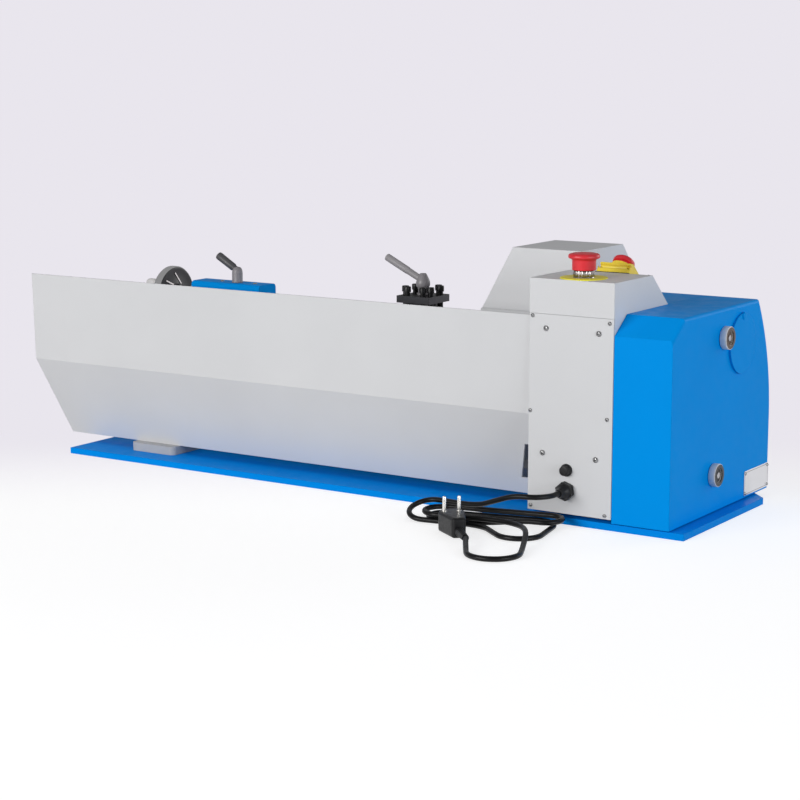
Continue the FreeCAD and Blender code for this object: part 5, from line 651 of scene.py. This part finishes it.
def round_turn(u, v, radius, first, last, corners, high, low):
    """Corners of an arc round (u, v) between two angles, with a point on the straight run at each end."""
    share = math.radians(last - first) / corners
    side = math.copysign(1, share)
    lead = radius * math.tan(abs(share) / 2)
    places = []
    for step in range(corners):
        angle = math.radians(first) + share * (step + 0.5)
        reach = radius / math.cos(share / 2)
        height = (high + low) / 2 + (high - low) / 2 * math.cos(math.pi * (step + 1) / (corners + 1))
        places.append((u + reach * math.cos(angle), v + reach * math.sin(angle), height))
    ends = []
    for angle, sign, height in ((math.radians(first), -side, high), (math.radians(last), side, low)):
        across = u + radius * math.cos(angle) - sign * lead * math.sin(angle)
        ends.append((across, v + radius * math.sin(angle) + sign * lead * math.cos(angle), height))
    return [ends[0], *places, ends[1]]


LEAD_ROUTE = [
    *round_turn(-55.5, -1.97, 30.0, 168.5, 86.0, 3, 45.2, 45.2),
    (-32.0, 24.8, 42.6), (-14.0, 17.0, 35.5), (20.0, 0.0, HANK_TOP), (48.8, -8.1, HANK_TOP),
]
HANK_ROUTE = [
    LEAD_ROUTE[-1], *round_turn(87.05, 4.0, 22.0, -105.7, 90.0, 6, HANK_TOP, CORD_FLOOR),
    (4.0, 26.0, CORD_FLOOR), *round_turn(-53.5, 49.0, 29.5, 42.5, 180.0, 4, CORD_FLOOR, CORD_FLOOR),
    *round_turn(-53.5, 3.5, 29.5, 180.0, 270.0, 3, CORD_FLOOR, CORD_FLOOR),
    *round_turn(FORE, MIDDLE, FOLD, -90, 90, FOLD_CORNERS, CORD_FLOOR, CORD_FLOOR), (10.0, INNER, CORD_FLOOR),
    (-50.0, INNER, HIGH), *round_turn(-AFT, MIDDLE, FOLD, 90, 270, FOLD_CORNERS, HIGH, HIGH),
    *round_turn(FORE, 0, OUTER, -90, 90, FOLD_CORNERS, HIGH, HIGH), (6.0, OUTER, HIGH),
]
TAIL_ROUTE = [
    HANK_ROUTE[-1], (-12.0, 26.0, 11.5), (-38.0, 34.0, 12.0), (-60.0, 52.0, 12.6), (-73.0, 80.0, 12.6),
    (-80.0, 112.0, 6.0), *round_turn(-55.5, 153.0, 32.5, 191.6, 22.3, 4, CORD_FLOOR, CORD_FLOOR),
    (*PLUG_PLACE, SLEEVE_Z),
]


def hank_point(u, v, z):
    """A point in the hank's own frame, in the row frame and in metres."""
    x = HANK_X + u * math.cos(HANK_TURN) - v * math.sin(HANK_TURN)
    y = HANK_Y + u * math.sin(HANK_TURN) + v * math.cos(HANK_TURN)
    return Vector((x * MM, y * MM, z * MM))


def cord_curve(name, points, stands_for):
    """A round lead along corners, in metres."""
    data = bpy.data.curves.new(name, "CURVE")
    data.dimensions = "3D"
    data.bevel_depth = 0.0035
    data.bevel_resolution = 6
    data.resolution_u = 10
    spline = data.splines.new("NURBS")
    spline.points.add(len(points) - 1)
    for control, point in zip(spline.points, points):
        control.co = (*point, 1)
    spline.order_u = 3
    spline.use_endpoint_u = True
    piece = bpy.data.objects.new(name, data)
    bpy.context.scene.collection.objects.link(piece)
    return settle(piece, "base", RUBBER, [stands_for])


gland_exit = Vector((GLAND_X, BOX_REAR + 21.0, GLAND_Z)) * MM
power_points = [gland_exit] + [hank_point(*point) for point in LEAD_ROUTE]
hank_points = [hank_point(*point) for point in HANK_ROUTE]
plug_points = [hank_point(*point) for point in TAIL_ROUTE]
power_lead = cord_curve("mains_lead", power_points, "power_cord")
hank = cord_curve("mains_bundle", hank_points, "cord_hank")
plug_lead = cord_curve("mains_tail", plug_points, "plug_cord")

# Plug: shaped body with a ribbed sleeve, and two round pins

plug_turn = Matrix.Translation(hank_point(*PLUG_PLACE, 0)) @ Matrix.Rotation(PLUG_TURN, 4, "Z")
PLUG_SLEEVE, PLUG_LENGTH, PLUG_HALF, PLUG_TAIL, PLUG_HIGH = 34.0, 58.0, 17.5, 8.5, 26.0
PLUG_END = PLUG_SLEEVE + PLUG_LENGTH
plug_outline = [
    (PLUG_SLEEVE, -PLUG_TAIL), (PLUG_END - PLUG_HALF * 0.8, -PLUG_HALF), (PLUG_END, -PLUG_HALF * 0.6),
    (PLUG_END, PLUG_HALF * 0.6), (PLUG_END - PLUG_HALF * 0.8, PLUG_HALF), (PLUG_SLEEVE, PLUG_TAIL),
]
plug_body = finish_mesh("plug_body", prism(plug_outline, 0.1, PLUG_HIGH), [plug_turn], bevel=0.004)
plug_body.modifiers["edges"].segments = 5
settle(plug_body, "base", BLACK_PLASTIC, ["plug"])
sleeve_profile = [(0.0, 3.4), (0.0, 4.4)]
for rib in range(7):
    start = 2 + rib * 4.4
    size = 4.5 + rib * 0.22
    sleeve_profile += [
        (start, size - 0.7), (start + 0.5, size), (start + 2.6, size + 0.1), (start + 3.1, size - 0.6),
    ]
sleeve_profile += [(33.0, 5.6), (35.0, 6.0), (40.0, 6.0)]
sleeve_turn = plug_turn @ Matrix.Translation((0, 0, SLEEVE_Z * MM)) @ AXES["X"]
plug_sleeve = finish_mesh("plug_sleeve", turned(sleeve_profile, 40), [sleeve_turn], 40)
settle(plug_sleeve, "base", BLACK_PLASTIC)
pin = turned([(25.8, 3.4), (26.2, 3.4), (26.2, 2.4), (43.2, 2.4), (44.4, 2.0), (45.0, 1.0), (45.0, 0)], 32)
pin_across, PIN_OFFSET = PLUG_END - PLUG_HALF * 0.9, 9.5
pin_places = [plug_turn @ at(pin_across, side * PIN_OFFSET, 0) for side in (-1, 1)]
plug_pins = settle(finish_mesh("plug_pins", pin, pin_places, 40), "base", PIN_METAL)

# Nameplate of the gear cover, left bare, and its rivets

COVER_FACE, DISC_FACE = -482.1, -484.9
PLATE_Y, PLATE_Z = -60.5, 29.2


def on_cover(y, z, face=COVER_FACE):
    """Placement on the outer face of the gear cover, or of a part of it."""
    return at(face, y, z, "-X")


plate = prism(rounded_box(39.5, 16.6, 2.0), 0.05, 0.85)
plate_piece = finish_mesh("rating_plate", plate, [on_cover(PLATE_Y, PLATE_Z)], bevel=0.0002)
settle(plate_piece, "cover", PLATE)
rim_marks = []
for half_w, half_h, side_w, side_h in ((37.4, 0.22, 0, 14.4), (0.22, 14.4, 37.4, 0)):
    for side in (-1, 1):
        place = on_cover(PLATE_Y + side * side_w, PLATE_Z + side * side_h)
        rim_marks.append(place @ Matrix.Diagonal((half_w, half_h, 1, 1)))
rim = finish_mesh("rating_plate_border", slab((-1, -1, 0.8), (1, 1, 0.9)), rim_marks)
settle(rim, "cover", PANEL)
rivet = turned([(0.05, 2.2), (1.3, 2.2), (2.0, 1.6), (2.3, 0.8), (2.4, 0)], 24)
rivets = [on_cover(PLATE_Y + y, PLATE_Z + z) for y in (-36, 36) for z in (-13.2, 13.2)]
settle(finish_mesh("rating_plate_rivets", rivet, rivets), "cover", ZINC)

# Knurled nuts that hold the gear cover

for label, y, z, face_look in (("upper", 56, 234, KNOB_FACE), ("lower", 80, 60, NUT_FACE)):
    body = f"nut_{label}"
    place = [on_cover(y, z, COVER_FACE - 0.3)]
    rim = turned([
        (7.0, 9.2), (9.5, 9.3), (9.7, 9.8), (9.7, 14.1), (9.3, 14.7), (8.8, 15.0), (1.2, 15.0), (0.6, 14.4),
        (0, 13.5), (0, 5),
    ], 120, (1.1, 8.9, 60, 0.35))
    settle(
        finish_mesh(f"cover_nut_{label}", rim, place, 50), body, NUT_RIM, [f"cover_knob_{label}"],
    )
    face = turned([(9.5, 14.3), (9.9, 13.9), (9.95, 9.9), (9.5, 9.2), (7.1, 9.1), (7.1, 4.3), (6.2, 4.1)], 72)
    settle(finish_mesh(f"cover_nut_{label}_face", face, place, 30), body, face_look)

pivot = finish_mesh("bore_cover_screw", crosshead(2.6, 1.4), [on_cover(0, 256, DISC_FACE)])
settle(pivot, "bore_disc", NUT_RIM)

# Operator's side of the headstock: panel, display, dial marks and screws

HEAD_FRONT, PANEL_X, PANEL_Z, KNOB_X, KNOB_Z = -92.0, -340, 166, -318, 158
panel_place = [at(PANEL_X, HEAD_FRONT, PANEL_Z, "-Y", 90)]
panel = finish_mesh("front_panel", prism(rounded_box(52, 40, 4), 0.1, 1.7), panel_place)
rocker_place = [at(-366, HEAD_FRONT, KNOB_Z, "-Y", 90)]
window = finish_mesh("cutter", slab((-7.5, -12.5, -2), (7.5, 12.5, 4)), rocker_place)
settle(cut_out(panel, [window]), "base", PANEL)
screen_place = [at(PANEL_X, HEAD_FRONT, 192, "-Y", 90)]
screen = finish_mesh("speed_display", prism(rounded_box(25, 8.5, 1.5), 1.6, 2.3), screen_place, bevel=0.0003)
settle(screen, "base", GLASS)
marks = []
for step in range(11):
    place = Matrix.Rotation(math.radians(135 - 27 * step), 4, "Z") @ at(20.5, 0, 0)
    marks.append(at(KNOB_X, HEAD_FRONT, KNOB_Z, "-Y") @ place)
settle(
    finish_mesh("speed_marks", slab((-1.8, -0.35, 1.7), (1.8, 0.35, 1.8)), marks), "base", MARKING,
)
corners = [(PANEL_X + x, PANEL_Z + z) for x in (-48, 48) for z in (-36, 36)]
panel_corners = [at(x, HEAD_FRONT - 1.7, z, "-Y") for x, z in corners]
settle(finish_mesh("front_panel_screws", crosshead(2.4, 1.4), panel_corners), "base", ZINC)

# Speed knob, turned finely, with its pointer line

knob = turned([
    (-1.5, 4.0), (0.3, 4.0), (0.3, 15.2), (0.8, 16.0), (1.6, 16.0), (2.4, 15.2), (14.4, 13.2), (16.2, 12.6),
    (17.0, 11.4), (17.0, 0),
], 96, (2.3, 14.5, 24, 0.6))
knob_place = [at(KNOB_X, HEAD_FRONT - 2, KNOB_Z, "-Y")]
settle(
    finish_mesh("speed_dial", knob, knob_place, 40), "speed", BLACK_PLASTIC, ["speed_knob"],
)
pointer_place = [at(KNOB_X, HEAD_FRONT - 2, KNOB_Z, "-Y", 45)]
pointer = finish_mesh("speed_pointer", slab((-0.6, 3, 16.6), (0.6, 11.6, 17.1)), pointer_place)
settle(pointer, "speed", MARKING)

# Chuck: key sockets between the jaws, with flat black squares of painted shade for their hollows

sockets = []
for side in (60, 180, 300):
    turn = Matrix.Rotation(math.radians(side), 4, "X")
    sockets.append(at(-240, 0, AXIS_HEIGHT) @ turn @ at(0, 0, 49.7))
socket_ring = turned([(-1.5, 4.4), (0.35, 4.4), (0.45, 4.7), (0.45, 7.2), (-1.0, 7.4)], 40)
settle(finish_mesh("chuck_key_rings", socket_ring, sockets, 30), "spindle_unit", JAW_STEEL)
# The sockets are not cut: a thin black square in each ring is painted shade in place of the hollow
socket_shade = prism([(-4.4, -4.4), (4.4, -4.4), (4.4, 4.4), (-4.4, 4.4)], 0.1, 0.3)
settle(finish_mesh("chuck_key_socket_shade", socket_shade, sockets, 30), "spindle_unit", HOLLOW_SHADE_AND_MARKS)

# Leadscrew with its thread

def leadscrew_mesh():
    """Plain ends and a trapezoid thread between them, as a bmesh along X."""
    mesh = bmesh.new()
    steps, pitch, radius, depth = 28, 4.0, 7.95, 1.5
    axis_y, axis_z = -66.0, 54.0
    rows = [(-451.5, 6.95), (-402.4, 6.95), (-402.0, 7.9)]
    x = -400.0
    while x < 394.0:
        rows.append((x, None))
        x += pitch / 8
    rows += [(394.5, 7.9), (396.6, 7.0), (412.8, 7.0)]
    rings = []
    for along, size in rows:
        ring = []
        for step in range(steps):
            angle = 2 * math.pi * step / steps
            reach = size
            if size is None:
                phase = (along / pitch - step / steps) % 1.0
                wave = min(1, max(0, (abs(phase - 0.5) * 2 - 0.3) / 0.4))
                reach = radius - depth * wave
            y, z = axis_y + reach * math.cos(angle), axis_z + reach * math.sin(angle)
            ring.append(mesh.verts.new((along * MM, y * MM, z * MM)))
        rings.append(ring)
    skin(mesh, rings)
    mesh.faces.new(rings[0])
    mesh.faces.new(rings[-1])
    return mesh


threaded = finish_mesh("threaded_leadscrew", leadscrew_mesh(), smooth=50)
settle(threaded, "feed_screw", SCREW_STEEL, ["leadscrew"])

# Bolts of the bed feet, and gib screws of the slides

FOOT_TOP, WASHER = 21.0, 2.0
feet = [(-373, -80), (-373, 80), (373, -80), (373, 80)]
foot_bolts = [at(x, y, FOOT_TOP, "Z", 17 * i) for i, (x, y) in enumerate(feet)]
washer = turned([(0.05, 5), (0.05, 10), (1.8, 10), (2.0, 9.8), (2.0, 5)], 40)
settle(finish_mesh("bench_washers", washer, foot_bolts), "base", ZINC)
lifted = [place @ at(0, 0, WASHER) for place in foot_bolts]
settle(
    finish_mesh("bench_bolt_heads", sockethead(8, 9), lifted, bevel=0.0002), "base", SCREW_BLACK,
)
cross_gibs = [at(50, y, 147.5, "X", 20) for y in (-22, 12, 46, 80)]
settle(finish_mesh("cross_gib_screws", sockethead(2.4, 1.4), cross_gibs), "cross", SCREW_BLACK)
top_gibs = [at(x, -29.5, 177, "-Y", 11) for x in (-32, 8, 48)]
settle(finish_mesh("top_gib_screws", sockethead(2.4, 1.4), top_gibs), "top", SCREW_BLACK)

# Degree marks on the round base of the compound slide

POST_X, POST_Y = 8, -1.5
degree_marks = []
for step in range(-9, 10):
    long = 1.0 if step % 2 else 1.8
    place = at(POST_X, POST_Y, 152.3, "Z", step * 5 - 90) @ at(36.0, 0, 5.5)
    degree_marks.append(place @ Matrix.Diagonal((1, 1, long, 1)))
settle(
    finish_mesh("degree_marks", slab((-0.4, -0.15, -2), (0.06, 0.15, 2)), degree_marks), "compound", HOLLOW_SHADE_AND_MARKS,
)

# Tool post screws

post_screws = []
for side in (-1, 1):
    for along in (-1, 1):
        for x, y in ((13 * along, 21 * side), (21 * side, 13 * along)):
            post_screws.append(at(POST_X + x, POST_Y + y, 255, "Z", 13 * (along + 2 * side)))
screw_shank = turned([(-28.8, 0), (-28.8, 3.2), (-28.0, 3.9), (0.3, 3.9)], 28)
settle(
    finish_mesh("post_screw_shanks", screw_shank, post_screws), "post", SCREW_BLACK,
    ["tool_screws"],
)
settle(finish_mesh("post_screw_heads", sockethead(5.2, 8), post_screws), "post", SCREW_BLACK)

# Clamp levers of the tool post and the tailstock barrel: turned hub, plain arm and pale end

def lever(name, body, look, node, hub_place, hub, start, reach, arm):
    """A lever whose arm runs from a start along a reach; hub and arm are (height, radius) pairs."""
    turn = Vector(reach).to_track_quat("Z", "Y").to_matrix().to_4x4()
    place = [Matrix.Translation(Vector(start) * MM) @ turn]
    settle(finish_mesh(f"{name}_hub", turned(hub, 64), [hub_place], 40), body, HUB_STEEL, [node])
    settle(finish_mesh(f"{name}_arm", turned(arm, 96), place, 50), body, look)
    length, radius = arm[-1]
    tip = turned([(length - 0.4, radius - 0.1), (length + 0.5, radius - 0.6), (length + 0.6, 0)], 48)
    settle(finish_mesh(f"{name}_end", tip, place, 40), body, NUT_RIM)


LOCK_X, LOCK_Y = 336, 4.0
lever("post_lever", "post_clamp", ARM_STEEL, "tool_post_lever", at(POST_X, POST_Y, 250), [
    (0.35, 6.3), (0.35, 9.0), (2.3, 9.0), (3.4, 7.4), (4.2, 7.0), (8.0, 7.0), (10.0, 7.8), (12.6, 9.6),
    (14.6, 10.1), (18.0, 10.1), (22.0, 8.8), (26.0, 6.9), (29.5, 5.2), (30.6, 4.2), (31.0, 0),
], (POST_X, POST_Y, 270.3), (61.6, 0, 30.5), [(0, 4.6), (28, 4.9), (29, 5.3), (66.6, 5.4), (68.2, 5.0)])
lever("lock_lever", "barrel_lock", GRIP_STEEL, "quill_lock_lever", at(LOCK_X, LOCK_Y, 247), [
    (0.3, 6.4), (0.3, 8.2), (1.0, 8.5), (2.2, 8.0), (15.0, 8.0), (18.5, 7.6), (21.4, 6.4), (23.4, 4.2),
    (24.2, 0),
], (LOCK_X, LOCK_Y, 265.6), (35.4, 0, 20.6), [(0, 4.6), (7, 4.8), (8.5, 5.8), (38.6, 6.1), (40.4, 5.7)])

# Tailstock handwheel: dial, dished web with narrow bright ribs, polished rim and grip

wheel_place = at(0, 0, AXIS_HEIGHT, "X")
wheel = turned([
    (411.5, 0), (411.5, 18.2), (412.3, 19), (422.6, 19), (423.4, 18.2), (423.4, 14.6), (450, 14.6),
    (456.0, 16.5), (457.6, 19), (458.0, 37), (457.4, 39.5), (457.6, 41.6), (458.4, 42.6), (460.4, 44.0),
    (468.6, 44.0), (470.6, 42.6), (470.6, 39.0), (466.5, 37), (465.5, 19), (469, 13), (478, 12), (479, 11),
    (479, 0),
], 144)
wheel_piece = finish_mesh("tail_wheel", wheel, [wheel_place], 35)
settle(wheel_piece, "tail_wheel", TAIL_WHEEL, ["tailstock_handwheel"])
RIB_ENDS = (((34.4, 84.8), (19.8, 125.5)), ((34.4, 44.3), (15.8, 73.9)))
ribs = []
for third in range(3):
    for first, last in RIB_ENDS:
        ends = []
        for radius, angle in (first, last):
            angle = math.radians(angle + 120 * third)
            ends.append(Vector((radius * math.cos(angle), radius * math.sin(angle), 0)))
        run = ends[1] - ends[0]
        middle = (ends[0] + ends[1]) / 2
        place = Matrix.Translation(middle * MM) @ Matrix.Rotation(math.atan2(run.y, run.x), 4, "Z")
        ribs.append(wheel_place @ place @ Matrix.Diagonal((run.length / 2, 1, 1, 1)))
rib_bars = finish_mesh("tail_wheel_ribs", slab((-1, -1.0, 457.0), (1, 1.0, 458.3)), ribs)
settle(rib_bars, "tail_wheel", PIN_METAL)
grip = turned([
    (466, 0), (466, 4.2), (470, 4.4), (472, 5.0), (477, 6.2), (484, 6.2), (488, 5.2), (490.4, 3.2), (491, 0),
], 48)
GRIP_ANGLE, GRIP_REACH = math.radians(35), 35.6
grip_y, grip_z = GRIP_REACH * math.cos(GRIP_ANGLE), AXIS_HEIGHT + GRIP_REACH * math.sin(GRIP_ANGLE)
settle(
    finish_mesh("tail_wheel_grip", grip, [at(0, grip_y, grip_z, "X")], 40), "tail_wheel", NUT_RIM,
)

# Oil points of the tailstock

oiler = turned([(-0.5, 3.2), (0.3, 3.2), (0.7, 2.8), (0.7, 1.8), (0.3, 1.2), (0.5, 0.6), (0.6, 0)], 28)
settle(
    finish_mesh("tailstock_oilers", oiler, [at(368, 0, 247, "Z"), at(306, 0, 247, "Z")]), "tailstock", BRASS,
)

# Floor, backdrop, lamps and camera

WALL = (0.815, 0.79, 0.85)

floor_data = bpy.data.meshes.new("floor")
floor_data.from_pydata([(-12, -14, 0), (12, -14, 0), (12, 10, 0), (-12, 10, 0)], [], [(0, 1, 2, 3)])
floor = bpy.data.objects.new("floor", floor_data)
bpy.context.scene.collection.objects.link(floor)


def join(tree, pairs):
    """Links outputs to inputs in a node tree."""
    for source, target in pairs:
        tree.links.new(source, target)


def pale_floor():
    """Matt pale floor that keeps the object's shadow and turns into the wall's colour far away."""
    material = bpy.data.materials.new("floor_pale")
    material.use_nodes = True
    tree = material.node_tree
    shader = tree.nodes["Principled BSDF"]
    shader.inputs["Base Color"].default_value = (0.5, 0.5, 0.505, 1)
    shader.inputs["Roughness"].default_value = 0.9
    shader.inputs["Specular IOR Level"].default_value = 0.1
    place = tree.nodes.new("ShaderNodeTexCoord")
    away = tree.nodes.new("ShaderNodeVectorMath")
    away.operation = "DOT_PRODUCT"
    away.inputs[1].default_value = (0.5456, -0.838, 0)
    far = tree.nodes.new("ShaderNodeMapRange")
    far.interpolation_type = "SMOOTHSTEP"
    far.inputs["From Min"].default_value = -0.3
    far.inputs["From Max"].default_value = 0.25
    lift = tree.nodes.new("ShaderNodeEmission")
    lift.inputs["Strength"].default_value = 0.68
    wall = tree.nodes.new("ShaderNodeEmission")
    wall.inputs["Color"].default_value = (*WALL, 1)
    lifted = tree.nodes.new("ShaderNodeAddShader")
    backdrop = tree.nodes.new("ShaderNodeMixShader")
    rays = tree.nodes.new("ShaderNodeLightPath")
    seen = tree.nodes.new("ShaderNodeMath")
    seen.operation = "MAXIMUM"
    mix = tree.nodes.new("ShaderNodeMixShader")
    join(tree, (
        (place.outputs["Object"], away.inputs[0]), (away.outputs["Value"], far.inputs["Value"]),
        (shader.outputs[0], lifted.inputs[0]), (lift.outputs[0], lifted.inputs[1]),
        (far.outputs["Result"], backdrop.inputs["Fac"]), (lifted.outputs[0], backdrop.inputs[1]),
        (wall.outputs[0], backdrop.inputs[2]), (rays.outputs["Is Camera Ray"], seen.inputs[0]),
        (rays.outputs["Is Glossy Ray"], seen.inputs[1]), (seen.outputs[0], mix.inputs["Fac"]),
        (shader.outputs[0], mix.inputs[1]), (backdrop.outputs[0], mix.inputs[2]),
        (mix.outputs[0], tree.nodes["Material Output"].inputs["Surface"]),
    ))
    return material


floor.data.materials.append(pale_floor())

world = bpy.data.worlds.new("studio")
bpy.context.scene.world = world
world.use_nodes = True
tree = world.node_tree
backdrop = tree.nodes["Background"]
backdrop.inputs["Color"].default_value = (0.80, 0.80, 0.815, 1)
backdrop.inputs["Strength"].default_value = 0.36
seen = tree.nodes.new("ShaderNodeBackground")
seen.inputs["Color"].default_value = (*WALL, 1)
rays = tree.nodes.new("ShaderNodeLightPath")
mix = tree.nodes.new("ShaderNodeMixShader")
direct = tree.nodes.new("ShaderNodeMath")
direct.operation = "MAXIMUM"
join(tree, (
    (rays.outputs["Is Camera Ray"], direct.inputs[0]),
    (rays.outputs["Is Transmission Ray"], direct.inputs[1]), (direct.outputs[0], mix.inputs["Fac"]),
    (backdrop.outputs[0], mix.inputs[1]), (seen.outputs[0], mix.inputs[2]),
    (mix.outputs[0], tree.nodes["World Output"].inputs["Surface"]),
))


def softbox(name, place, size, power, colour):
    """A rectangular soft lamp that points at the middle of the machine."""
    data = bpy.data.lights.new(name, "AREA")
    data.shape = "RECTANGLE"
    data.size, data.size_y = size
    data.energy = power
    data.color = colour
    lamp = bpy.data.objects.new(name, data)
    lamp.location = place
    lamp.rotation_euler = (Vector((0, 0, 0.15)) - Vector(place)).to_track_quat("-Z", "Y").to_euler()
    bpy.context.scene.collection.objects.link(lamp)


softbox("key", (1.0, 3.9, 1.1), (2.4, 1.4), 103, (1, 0.995, 0.985))
softbox("side", (-3.4, 0.9, 0.7), (1.8, 1.2), 37, (0.92, 0.96, 1))
softbox("front", (-1.9, -3.3, 1.2), (2.0, 1.4), 30, (1, 1, 1))

camera_data = bpy.data.cameras.new("camera")
camera_data.lens = 92.09
camera_data.sensor_width = 36
camera_data.clip_start = 0.05
camera_data.clip_end = 60
camera = bpy.data.objects.new("camera", camera_data)
camera.location = (-1.5443, 2.4426, 0.6068)
camera.rotation_euler = (math.radians(90 - 9.971), 0, math.radians(213.07))
bpy.context.scene.collection.objects.link(camera)
bpy.context.scene.camera = camera
bpy.context.scene.view_settings.view_transform = "Standard"
